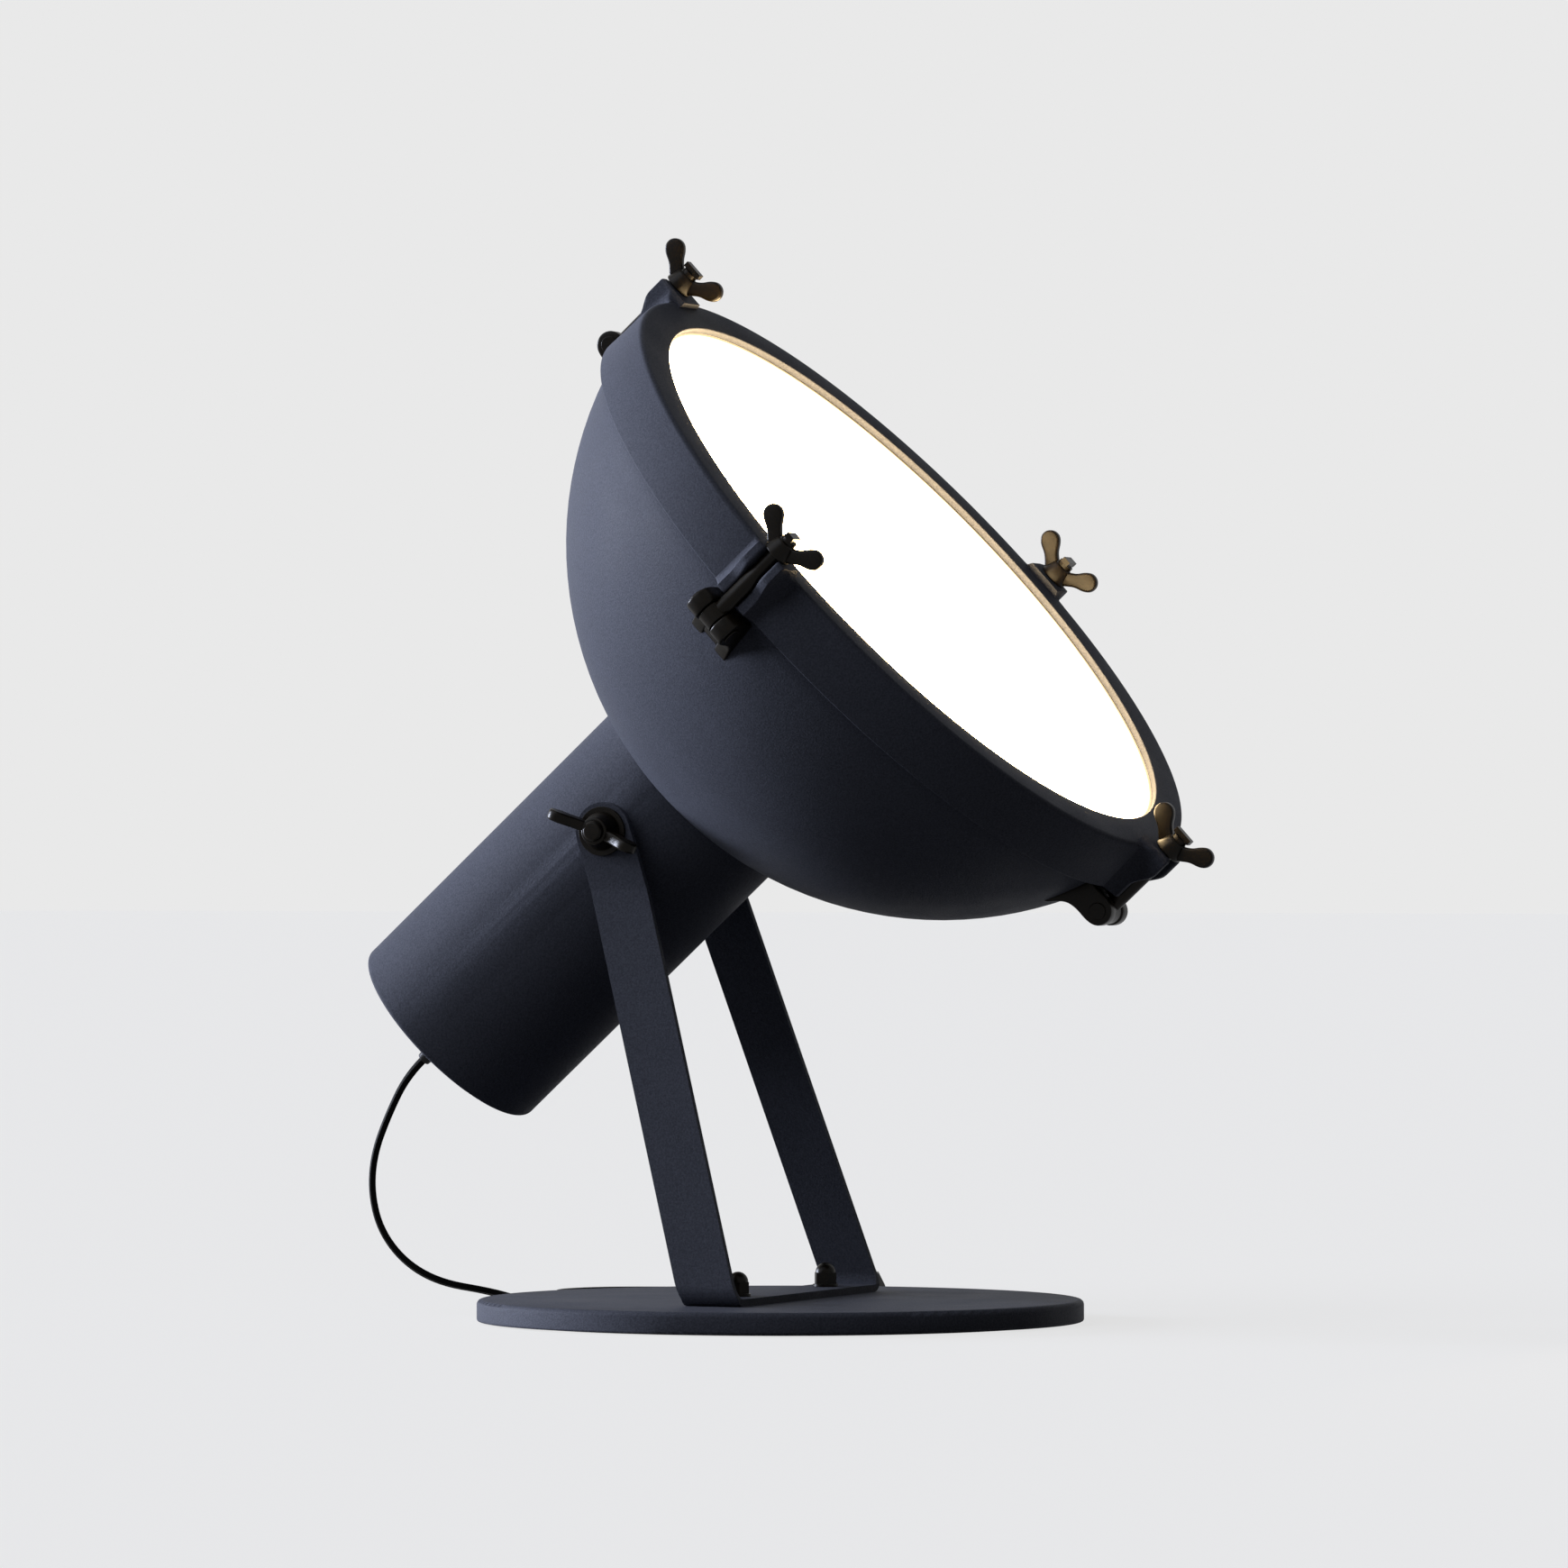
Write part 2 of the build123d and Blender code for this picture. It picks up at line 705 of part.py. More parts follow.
def ring_ear(angle):
    """An ear's middle, which carries the nut, with flanks that run out into the ring."""
    side = ear_profile(angle)
    ear_back = Plane(
        origin=head_point(ring_rear), x_dir=head_radial(angle).cross(head_axis), z_dir=head_axis
    )
    with BuildPart() as flanks:
        extrude(to_extrude=side, amount=ear_foot_half, both=True)
        with BuildSketch(ear_back):
            with BuildLine():
                foot = Vector(ear_foot_half, ear_foot_rise)
                knee = Vector(ear_half, ear_rear_r + ear_knee)
                crown = Vector(ear_half, ear_flange_r)
                for way in (-1, 1):
                    flank_way = (-way * math.cos(ear_foot_turn), math.sin(ear_foot_turn))
                    TangentArc((way * foot.X, foot.Y), (way * knee.X, knee.Y), tangent=flank_way)
                    Line((way * knee.X, knee.Y), (way * crown.X, crown.Y))
                Line((-foot.X, foot.Y), (foot.X, foot.Y))
                Line((-crown.X, crown.Y), (crown.X, crown.Y))
            make_face()
        extrude(amount=ring_length, mode=Mode.INTERSECT)
    with BuildPart() as ear:
        extrude(to_extrude=side, amount=ear_half, both=True)
        add(flanks.part)
    return ear.part


ears = [ring_ear(angle) for angle in clamp_angles]

with BuildPart() as front_ring:
    with BuildSketch(head_section) as ring_profile:
        with BuildLine():
            Polyline(
                (ring_rear, ring_rear_r),
                (ring_front, ring_front_r),
                (ring_front, ring_aperture_r),
                (ring_front - ring_flange_t, ring_aperture_r),
                (ring_front - ring_flange_t, ring_locator_r),
                (lip_end + ring_clearance, ring_locator_r),
                (lip_end + ring_clearance, ring_inner_r),
                (ring_rear + ring_lip_t, ring_inner_r),
                (ring_rear + ring_lip_t, bowl_lip_r + ring_clearance),
                (ring_rear, bowl_lip_r + ring_clearance),
                close=True,
            )
        make_face()
        fillet(ring_profile.vertices().sort_by_distance((ring_front, ring_front_r))[0], ring_round)
    revolve(axis=head_line)
    for angle, ear in zip(clamp_angles, ears):
        add(ear)
        # Slot for the bolt, open outwards and at both ends.
        slot_place = head_point(ring_rear, clamp_circle_r, angle)
        with BuildSketch(Plane(origin=slot_place, x_dir=head_radial(angle), z_dir=head_axis)):
            Circle(ear_slot_r)
            with Locations((ear_half, 0)):
                Rectangle(2 * ear_half, 2 * ear_slot_r)
        extrude(amount=ear_face_r, mode=Mode.SUBTRACT)
front_ring.part.label = "front_ring"
export_step(front_ring.part, "parts/front_ring.step")


# ---- Glass in its rubber channel ----

with BuildPart() as front_glass:
    with BuildSketch(Plane(origin=head_point(glass_rear), x_dir=head_up, z_dir=head_axis)):
        Circle(glass_r)
    extrude(amount=glass_t)
front_glass.part.label = "front_glass"
export_step(front_glass.part, "parts/front_glass.step")

with BuildPart() as ring_gasket:
    with BuildSketch(head_section):
        with BuildLine():
            gasket_front = ring_front - ring_flange_t - gasket_fit
            slot_r = glass_r + gasket_glass_gap
            Polyline(
                (lip_end + gasket_fit, gasket_inner_r),
                (lip_end + gasket_fit, gasket_outer_r),
                (gasket_front, gasket_outer_r),
                (gasket_front, gasket_inner_r),
                (glass_front + gasket_fit, gasket_inner_r),
                (glass_front + gasket_fit, slot_r),
                (glass_rear - gasket_fit, slot_r),
                (glass_rear - gasket_fit, gasket_inner_r),
                close=True,
            )
        make_face()
    revolve(axis=head_line)
ring_gasket.part.label = "ring_gasket"
export_step(ring_gasket.part, "parts/ring_gasket.step")


# ---- Clamps: lug, pin, swing bolt ----

bowl_middle = head_point(bowl_centre)
flare_start = (lug_flare_start, math.sqrt(bowl_r**2 - (bowl_centre - lug_flare_start) ** 2))
flare_slope = (flare_start[1], bowl_centre - lug_flare_start)
lug_rear = clamp_pin_a - lug_lobe_r
lug_front = clamp_pin_a + lug_lobe_r
lug_root = bowl_r * math.cos(math.radians(lug_sink))

for name, angle in zip(clamp_names, clamp_angles):
    section = head_section_at(angle)

    with BuildPart() as clamp_lug:
        with BuildSketch(section):
            with BuildLine():
                flare_end = (lug_rear, clamp_circle_r - lug_flare_drop)
                TangentArc(flare_start, flare_end, tangent=flare_slope)
                Polyline(
                    flare_end,
                    (lug_rear, clamp_circle_r),
                    (lug_front, clamp_circle_r),
                    (lug_front, lug_root),
                    (lug_flare_start, lug_root),
                    flare_start,
                )
            make_face()
            with Locations((clamp_pin_a, clamp_circle_r)):
                Circle(lug_lobe_r)
        extrude(amount=lug_half, both=True)
        # Slot between the ears, open outwards and at both ends.
        with BuildSketch(section):
            with Locations((clamp_pin_a, lug_slot_floor + lug_half)):
                Rectangle(4 * lug_lobe_r, 2 * lug_half)
        extrude(amount=lug_slot_half, both=True, mode=Mode.SUBTRACT)
        with BuildSketch(section):
            with Locations((clamp_pin_a, clamp_circle_r)):
                Circle(clamp_pin_r + thread_clearance)
        extrude(amount=2 * lug_half, both=True, mode=Mode.SUBTRACT)
        # The foot takes the bowl's curve.
        with Locations(bowl_middle):
            Sphere(bowl_r + seat_gap, mode=Mode.SUBTRACT)
    clamp_lug.part.label = f"clamp_lug_{name}"
    export_step(clamp_lug.part, f"parts/clamp_lug_{name}.step")

    with BuildPart() as lug_pin:
        with BuildSketch(section):
            with Locations((clamp_pin_a, clamp_circle_r)):
                Circle(clamp_pin_r)
        extrude(amount=lug_half + clamp_pin_head_t, both=True)
        for side in (-1, 1):
            with BuildSketch(section.offset(side * lug_half)):
                with Locations((clamp_pin_a, clamp_circle_r)):
                    Circle(clamp_pin_head_r)
            extrude(amount=side * clamp_pin_head_t)
    lug_pin.part.label = f"lug_pin_{name}"
    export_step(lug_pin.part, f"parts/lug_pin_{name}.step")

    bolt_place = head_point(clamp_pin_a, clamp_circle_r, angle)
    bolt_plane = Plane(origin=bolt_place, x_dir=head_radial(angle), z_dir=head_axis)
    with BuildPart() as swing_bolt:
        with BuildSketch(section):
            with Locations((clamp_pin_a, clamp_circle_r)):
                Circle(eye_r)
        extrude(amount=eye_half, both=True)
        with BuildSketch(bolt_plane):
            Circle(shank_r)
        extrude(amount=shank_end - clamp_pin_a)
        # The end is flattened to a bar, so that the nut can't be lost.
        with BuildSketch(bolt_plane.offset(shank_end - clamp_pin_a)):
            Rectangle(bolt_bar_l, bolt_bar_w)
        extrude(amount=bolt_bar_h)
        with BuildSketch(section):
            with Locations((clamp_pin_a, clamp_circle_r)):
                Circle(clamp_pin_r + running_clearance)
        extrude(amount=2 * eye_r, both=True, mode=Mode.SUBTRACT)
    swing_bolt.part.label = f"swing_bolt_{name}"
    export_step(swing_bolt.part, f"parts/swing_bolt_{name}.step")


# ---- Wing nuts ----

def wing_nut(seat, hub, wing, bore_r):
    """A cast wing nut on a seat plane whose X is the way its wings point.

    hub is (radius at the seat, radius at the top, height); wing is (distance from the bolt, height, radius)
    for the circle of its root, of its waist and of its tip, then its thickness.
    """
    hub_r, hub_top_r, hub_h = hub
    root, waist, tip, thickness = wing
    upright = Plane(origin=seat.origin, x_dir=seat.x_dir, z_dir=-seat.y_dir)
    with BuildPart() as nut:
        for way in (-1, 1):
            for stretch_ends in ((root, waist), (waist, tip)):
                with BuildSketch(upright):
                    for out, height, radius in stretch_ends:
                        with Locations((way * out, height)):
                            Circle(radius)
                    make_hull()
                extrude(amount=thickness / 2, both=True)
        fillet(nut.faces().filter_by(Axis(seat.origin, upright.z_dir)).edges(), wing_round)
        with BuildSketch(upright):
            with BuildLine():
                Polyline((0, 0), (hub_r, 0), (hub_top_r, hub_h), (0, hub_h), close=True)
            make_face()
        revolve(axis=Axis(seat.origin, seat.z_dir))
        with BuildSketch(seat):
            Circle(bore_r)
        extrude(amount=2 * hub_h, mode=Mode.SUBTRACT)
    return nut.part


clamp_hub = (clamp_hub_r, clamp_hub_top_r, clamp_hub_h)
clamp_wing = (
    (clamp_wing_root, clamp_wing_root_h, clamp_wing_root_r),
    (clamp_wing_waist, clamp_wing_waist_h, clamp_wing_waist_r),
    (clamp_wing_tip, clamp_wing_tip_h, clamp_wing_tip_r),
    clamp_wing_t,
)
# The nuts at the top and bottom stand with their wings out from the ring, the others along it.
for name, angle in zip(clamp_names, clamp_angles):
    wing_dir = head_radial(angle) if name in ("top", "bottom") else head_radial(angle + 90)
    seat_place = head_point(clamp_seat, clamp_circle_r, angle)
    clamp_seat_plane = Plane(origin=seat_place, x_dir=wing_dir, z_dir=head_axis)
    clamp_nut = wing_nut(clamp_seat_plane, clamp_hub, clamp_wing, shank_r + running_clearance)
    clamp_nut.label = f"clamp_nut_{name}"
    export_step(clamp_nut, f"parts/clamp_nut_{name}.step")

pivot_hub = (pivot_hub_r, pivot_hub_top_r, pivot_hub_h)
pivot_wing = (
    (pivot_wing_root, pivot_wing_root_h, pivot_wing_root_r),
    (pivot_wing_waist, pivot_wing_waist_h, pivot_wing_waist_r),
    (pivot_wing_tip, pivot_wing_tip_h, pivot_wing_tip_r),
    pivot_wing_t,
)
wing_turn = math.radians(pivot_wing_turn)
pivot_wing_dir = Vector(math.cos(wing_turn), 0, -math.sin(wing_turn))
for name, side in (("near", -1), ("far", 1)):
    seat_place = Vector(pivot_x, side * pivot_nut_seat, pivot_z)
    pivot_seat_plane = Plane(origin=seat_place, x_dir=pivot_wing_dir, z_dir=(0, side, 0))
    pivot_nut = wing_nut(pivot_seat_plane, pivot_hub, pivot_wing, stud_r + running_clearance)
    pivot_nut.label = f"pivot_nut_{name}"
    export_step(pivot_nut, f"parts/pivot_nut_{name}.step")


# ---- Pivot studs and washers ----

with BuildPart() as pivot_studs:
    for side in (-1, 1):
        stud_root = Plane(origin=(pivot_x, side * boss_root, pivot_z), x_dir=(1, 0, 0), z_dir=(0, side, 0))
        with BuildSketch(stud_root):
            Circle(stud_r)
        extrude(amount=stud_end - boss_root)
    chamfer(pivot_studs.edges().group_by(Axis.Y)[0], stud_chamfer)
    chamfer(pivot_studs.edges().group_by(Axis.Y)[-1], stud_chamfer)
pivot_studs.part.label = "pivot_studs"
export_step(pivot_studs.part, "parts/pivot_studs.step")


def washers(label, inner_face, thickness, outer_r):
    """A pair of washers on the studs, one each side."""
    with BuildPart() as pair:
        for side in (-1, 1):
            face_place = Vector(pivot_x, side * inner_face, pivot_z)
            with BuildSketch(Plane(origin=face_place, x_dir=(1, 0, 0), z_dir=(0, side, 0))):
                Circle(outer_r)
                Circle(stud_hole_r, mode=Mode.SUBTRACT)
            extrude(amount=thickness)
    pair.part.label = label
    export_step(pair.part, f"parts/{label}.step")


washers("fibre_washers", boss_seat, fibre_washer_t, boss_r)
washers("pivot_washers", strap_top_outer + washer_gap, steel_washer_t, steel_washer_r)


# ---- Lamp: bracket in the tube, lampholder, bulb, terminal block ----

with BuildPart() as holder_bracket:
    with BuildSketch(head_section):
        with BuildLine():
            bracket_r = tube_inner_r - cap_clearance
            Polyline(
                (-bracket_skirt, bracket_r),
                (bracket_t, bracket_r),
                (bracket_t, bracket_hole_r),
                (0, bracket_hole_r),
                (0, bracket_r - bracket_t),
                (-bracket_skirt, bracket_r - bracket_t),
                close=True,
            )
        make_face()
    revolve(axis=head_line)
    # The studs' ends pass through the skirt.
    with BuildSketch(Plane.XZ):
        with Locations((pivot_x, pivot_z)):
            Circle(boss_r + cap_clearance)
    extrude(amount=tube_r, both=True, mode=Mode.SUBTRACT)
holder_bracket.part.label = "holder_bracket"
export_step(holder_bracket.part, "parts/holder_bracket.step")

with BuildPart() as lampholder:
    with BuildSketch(head_section):
        with BuildLine():
            holder_front = bracket_t + holder_length
            holder_bore_r = bulb_cap_r + bulb_gap
            Polyline(
                (bracket_t, bracket_hole_r),
                (bracket_t, holder_r),
                (holder_front - holder_skirt_t, holder_r),
                (holder_front - holder_skirt_t, holder_skirt_r),
                (holder_front, holder_skirt_r),
                (holder_front, holder_bore_r),
                (bracket_t + holder_floor, holder_bore_r),
                (bracket_t + holder_floor, bracket_hole_r),
                close=True,
            )
        make_face()
    revolve(axis=head_line)
lampholder.part.label = "lampholder"
export_step(lampholder.part, "parts/lampholder.step")

bulb_rear = bracket_t + holder_floor - bulb_tip_h + bulb_gap
cap_rear = bulb_rear + bulb_tip_h
cap_front = cap_rear + bulb_cap_length
bulb_front = bulb_rear + bulb_length

with BuildPart() as bulb:
    with BuildSketch(head_section):
        with BuildLine():
            globe_side = (bulb_front - bulb_r, bulb_r)
            globe_edge = (bulb_front - bulb_r + bulb_r / math.sqrt(2), bulb_r / math.sqrt(2))
            Polyline(
                (bulb_front, 0),
                (bulb_rear, 0),
                (bulb_rear, bulb_tip_r),
                (cap_rear, bulb_tip_r),
                (cap_rear, bulb_cap_r),
                (cap_front, bulb_cap_r),
            )
            neck_pull = (bulb_front - bulb_r - cap_front) / 2
            Bezier(
                (cap_front, bulb_cap_r),
                (cap_front + neck_pull, bulb_cap_r),
                (globe_side[0] - neck_pull, bulb_r),
                globe_side,
            )
            ThreePointArc(globe_side, globe_edge, (bulb_front, 0))
        make_face()
    revolve(axis=head_line)
bulb.part.label = "bulb"
export_step(bulb.part, "parts/bulb.step")

# The terminal block is screwed to the back of the bracket, above the middle hole.
block_face = Plane(origin=head_point(0, terminal_offset), x_dir=head_side, z_dir=-head_axis)
with BuildPart() as terminal_block:
    with BuildSketch(block_face):
        RectangleRounded(terminal_l, terminal_w, terminal_screw_r)
    extrude(amount=terminal_h)
    with BuildSketch(block_face.offset(terminal_h)):
        with GridLocations(terminal_l / 3, terminal_w / 2, 3, 2):
            Circle(terminal_screw_r)
    extrude(amount=-terminal_screw_depth, mode=Mode.SUBTRACT)
terminal_block.part.label = "terminal_block"
export_step(terminal_block.part, "parts/terminal_block.step")

# The reflector is a paraboloid from the ring nut to the mouth, with a flat rim behind the gasket.
reflector_rear = nut_front + seat_gap
rim_front = lip_end + gasket_fit - seat_gap
rim_rear = rim_front - reflector_t
reflector_depth = rim_rear - reflector_rear
parabola_rate = reflector_depth / (reflector_mouth_r**2 - reflector_start_r**2)
middle_r = (reflector_mouth_r + reflector_start_r) / 2
middle_rise = 2 * parabola_rate * reflector_start_r * (middle_r - reflector_start_r)
reflector_rim_r = bowl_lip_r - bowl_wall - reflector_rim_gap

with BuildPart() as reflector:
    with BuildSketch(head_section):
        with BuildLine():
            for start in (reflector_rear, reflector_rear + reflector_t):
                Bezier(
                    (start, reflector_start_r),
                    (start + middle_rise, middle_r),
                    (start + reflector_depth, reflector_mouth_r),
                )
            Polyline(
                (reflector_rear, reflector_start_r),
                (reflector_rear, reflector_neck_r),
                (reflector_rear + reflector_t, reflector_neck_r),
                (reflector_rear + reflector_t, reflector_start_r),
            )
            Polyline(
                (rim_rear, reflector_mouth_r),
                (rim_rear, reflector_rim_r),
                (rim_front, reflector_rim_r),
                (rim_front, reflector_mouth_r),
            )
        make_face()
    revolve(axis=head_line)
reflector.part.label = "reflector"
export_step(reflector.part, "parts/reflector.step")


# ---- Flex: from the gland to the coil, the coil, then by the switch to the plug ----

def corner_radii(points):
    """Each corner's radius: 0.45 of its shorter run over the tangent of half its turn."""
    radii = []
    for before, corner, after in zip(points, points[1:], points[2:]):
        run_in = corner - before
        run_out = after - corner
        half_turn = math.radians(run_in.get_angle(run_out)) / 2
        radii.append(0.45 * min(run_in.length, run_out.length) / math.tan(half_turn))
    return radii


def lay_flex(label, points, keep_clear=None):
    """One stretch of flex along its points; returns its length."""
    radii = corner_radii(points)
    with BuildPart() as stretch:
        with BuildLine():
            route = FilletPolyline(*points, radius=radii)
        with BuildSketch(Plane(origin=route @ 0, z_dir=route % 0)):
            Circle(flex_r)
        sweep()
        whole_volume = stretch.part.volume
        if keep_clear is not None:
            add(keep_clear, mode=Mode.SUBTRACT)
    stretch.part.label = label
    export_step(stretch.part, f"parts/{label}.step")
    section_volume = math.pi * flex_r**2 * route.length
    print(label, "radii", [round(radius, 1) for radius in radii])
    print(label, "length", round(route.length, 1), "volume ratio", round(whole_volume / section_volume, 4))
    return route.length


switch_across = -40.0
switch_start = 213.0
switch_end = switch_start + switch_l
plug_across = 36.5
plug_start = 205.0

drop_points = [
    head_point(gland_end),
    Vector(-200.5, 0, 119.2),
    Vector(-211.0, 0, 99.0),
    Vector(-218.5, 0, 80.0),
    Vector(-220.0, 0, 61.0),
    Vector(-215.0, 0, 42.0),
    Vector(-203.0, 3, 26.0),
    Vector(-186.0, 8, 16.0),
    Vector(-166.0, 24, 11.5),
    laid(-134.0, 104.0, 7.0),
    laid(-122.0, 124.0, 3.5),
    laid(-115.5, 145.0, 2.3),
    laid(coil_edge_across, 166.0, 2.2),
]
tail_points = [
    laid(coil_edge_across, 180.0, 4.9),
    laid(-114.6, 205.0, 3.6),
    laid(-113.6, 235.0, 2.2),
    laid(-114.4, 267.0, 2.2),
    laid(-114.2, 298.4, 2.2),
    laid(-92.3, 320.2, 2.2),
    laid(-61.7, 320.2, 2.2),
    laid(-39.9, 298.4, 2.6),
    laid(switch_across, switch_end + flex_end_gap, switch_flex_z),
]
lead_points = [
    laid(switch_across, switch_start - flex_end_gap, switch_flex_z),
    laid(-40.0, 182.4, 2.6),
    laid(-17.6, 160.0, 2.2),
    laid(14.1, 160.0, 2.2),
    laid(36.5, 182.4, 3.4),
    laid(plug_across, plug_start - flex_end_gap, plug_h / 2),
]

coil_inner_r = coil_mid_r - coil_layer_w / 2
coil_outer_r = coil_mid_r + coil_layer_w / 2
coil_plane = Plane(origin=coil_place, x_dir=across, z_dir=(0, 0, 1))

with BuildPart() as cord_coil:
    with BuildSketch(coil_plane):
        Circle(coil_outer_r)
        Circle(coil_inner_r, mode=Mode.SUBTRACT)
    extrude(amount=coil_h)
    fillet(cord_coil.edges(), coil_round)
cord_coil.part.label = "cord_coil"
export_step(cord_coil.part, "parts/cord_coil.step")

# The flex's two stretches stop where they run into the coil.
with BuildPart() as coil_bulk:
    with BuildSketch(coil_plane):
        Circle(coil_outer_r)
    extrude(amount=2 * coil_h)

coil_length = coil_layers * coil_turns * 2 * math.pi * coil_mid_r
drop_length = lay_flex("cord_drop", drop_points, coil_bulk.part)
tail_length = lay_flex("cord_tail", tail_points, coil_bulk.part)
lead_length = lay_flex("cord_lead", lead_points)
laid_length = drop_length + coil_length + tail_length + switch_l + lead_length
print("flex in all", round(laid_length), "of", flex_length)


# ---- In-line switch: two shells, a rocker on its axle, and two screws ----

switch_top = switch_base_h + switch_cover_h
switch_plane = Plane(
    origin=laid(switch_across, (switch_start + switch_end) / 2, 0), x_dir=behind, z_dir=(0, 0, 1)
)
rocker_centre = switch_top - switch_wall - rocker_axle_r
rocker_cover = switch_top - rocker_centre
switch_screw_places = [
    (switch_l / 2 - switch_screw_inset, 0),
    (-switch_l / 2 + switch_screw_inset, 0),
]

with BuildPart() as switch_base:
    with BuildSketch(switch_plane):
        RectangleRounded(switch_l, switch_w, switch_round)
    extrude(amount=switch_base_h)
    fillet(switch_base.edges().group_by(Axis.Z)[0], switch_wall / 2)
    with BuildSketch(switch_plane.offset(switch_wall)):
        RectangleRounded(switch_l - 4 * switch_screw_inset, switch_w - 2 * switch_wall, switch_wall)
    extrude(amount=switch_base_h, mode=Mode.SUBTRACT)
    with BuildSketch(switch_plane):
        with Locations(*switch_screw_places):
            Circle(switch_screw_r + thread_clearance)
    extrude(amount=switch_base_h, mode=Mode.SUBTRACT)
    with BuildSketch(switch_plane):
        with Locations(*switch_screw_places):
            Circle(switch_screw_head_r + thread_clearance)
    extrude(amount=switch_screw_head_h, mode=Mode.SUBTRACT)
switch_base.part.label = "switch_base"
export_step(switch_base.part, "parts/switch_base.step")

with BuildPart() as switch_cover:
    with BuildSketch(switch_plane.offset(switch_base_h)):
        RectangleRounded(switch_l, switch_w, switch_round)
    extrude(amount=switch_cover_h)
    fillet(switch_cover.edges().group_by(Axis.Z)[-1], switch_wall)
    with BuildSketch(switch_plane.offset(switch_base_h)):
        RectangleRounded(switch_l - 4 * switch_screw_inset, switch_w - 2 * switch_wall, switch_wall)
    extrude(amount=switch_cover_h - switch_wall, mode=Mode.SUBTRACT)
    # Two ribs under the top carry the rocker's axle, one each side of its window.
    with BuildSketch(switch_plane.offset(switch_base_h)):
        Rectangle(rocker_l / 2, rocker_w + 2 * rocker_gap + 2 * switch_wall)
    extrude(amount=switch_cover_h - switch_wall)
    with BuildSketch(switch_plane.offset(switch_base_h)):
        Rectangle(rocker_l + 2 * rocker_gap, rocker_w + 2 * rocker_gap)
    extrude(amount=switch_cover_h, mode=Mode.SUBTRACT)
    with BuildSketch(Plane(origin=switch_plane.origin, x_dir=behind, z_dir=-switch_plane.y_dir)):
        with Locations((0, rocker_centre)):
            Circle(rocker_axle_r + running_clearance)
    extrude(amount=rocker_w / 2 + switch_wall + rocker_gap, both=True, mode=Mode.SUBTRACT)
    with BuildSketch(switch_plane.offset(switch_base_h)):
        with Locations(*switch_screw_places):
            Circle(switch_screw_r + thread_clearance)
    extrude(amount=switch_cover_h / 2, mode=Mode.SUBTRACT)
switch_cover.part.label = "switch_cover"
export_step(switch_cover.part, "parts/switch_cover.step")

with BuildPart() as switch_screws:
    with BuildSketch(switch_plane):
        with Locations(*switch_screw_places):
            Circle(switch_screw_head_r)
    extrude(amount=switch_screw_head_h)
    with BuildSketch(switch_plane):
        with Locations(*switch_screw_places):
            Circle(switch_screw_r)
    extrude(amount=switch_base_h + switch_cover_h / 2)
switch_screws.part.label = "switch_screws"
export_step(switch_screws.part, "parts/switch_screws.step")

# The rocker rests tilted, one end down.
tilt = math.radians(rocker_tilt)
rocker_dir = behind * math.cos(tilt) + Vector(0, 0, math.sin(tilt))
rocker_place = switch_plane.origin + Vector(0, 0, rocker_centre)
rocker_plane = Plane(origin=rocker_place, x_dir=rocker_dir, z_dir=-switch_plane.y_dir)
with BuildPart() as switch_rocker:
    with BuildSketch(rocker_plane):
        with BuildLine():
            half = rocker_l / 2 - 2 * rocker_gap
            rocker_end = rocker_cover + rocker_rise
            rocker_foot = -2 * rocker_axle_r
            Polyline((-half, rocker_end), (-half, 0), (0, rocker_foot), (half, 0), (half, rocker_end))
            ThreePointArc((half, rocker_end), (0, rocker_cover + rocker_gap), (-half, rocker_end))
        make_face()
    extrude(amount=rocker_w / 2, both=True)
    with BuildSketch(rocker_plane):
        Circle(rocker_axle_r)
    extrude(amount=rocker_w / 2 + switch_wall, both=True)
switch_rocker.part.label = "switch_rocker"
export_step(switch_rocker.part, "parts/switch_rocker.step")


# ---- Plug: flat body with a tapered tail, and two pins ----

plug_plane = Plane(origin=laid(plug_across, plug_start, plug_h / 2), x_dir=across, z_dir=behind)
body_start = plug_plane.offset(plug_relief_l)


def flat_hexagon(width, height):
    """Corners of a flat hexagon whose widest place is the middle of its height."""
    flat = width / 2 - height / 4
    return [
        (-flat, height / 2),
        (-width / 2, 0),
        (-flat, -height / 2),
        (flat, -height / 2),
        (width / 2, 0),
        (flat, height / 2),
    ]


with BuildPart() as plug_body:
    # Strain relief round the flex.
    with BuildSketch(plug_plane):
        Circle(plug_relief_tip_r)
    with BuildSketch(body_start):
        Circle(plug_relief_r)
    loft()
    # Body: narrow at the tail, full width for its front half.
    with BuildSketch(body_start):
        Polygon(*flat_hexagon(plug_tail_w, plug_h - plug_round), align=None)
    with BuildSketch(body_start.offset(plug_l / 2)):
        Polygon(*flat_hexagon(plug_w, plug_h), align=None)
    loft()
    with BuildSketch(body_start.offset(plug_l / 2)):
        Polygon(*flat_hexagon(plug_w, plug_h), align=None)
    extrude(amount=plug_l / 2)
    with BuildSketch(body_start.offset(plug_l)):
        with GridLocations(plug_pin_pitch, 1, 2, 1):
            Circle(plug_pin_r)
    extrude(amount=-plug_l / 4, mode=Mode.SUBTRACT)
plug_body.part.label = "plug_body"
export_step(plug_body.part, "parts/plug_body.step")

with BuildPart() as plug_pins:
    with BuildSketch(body_start.offset(plug_l)):
        with GridLocations(plug_pin_pitch, 1, 2, 1):
            Circle(plug_pin_r)
    extrude(amount=plug_pin_l)
    chamfer(plug_pins.faces().sort_by(Axis(plug_plane.origin, behind))[-2:].edges(), plug_pin_r / 2)
    with BuildSketch(body_start.offset(plug_l)):
        with GridLocations(plug_pin_pitch, 1, 2, 1):
            Circle(plug_pin_r)
    extrude(amount=-plug_l / 4)
plug_pins.part.label = "plug_pins"
export_step(plug_pins.part, "parts/plug_pins.step")
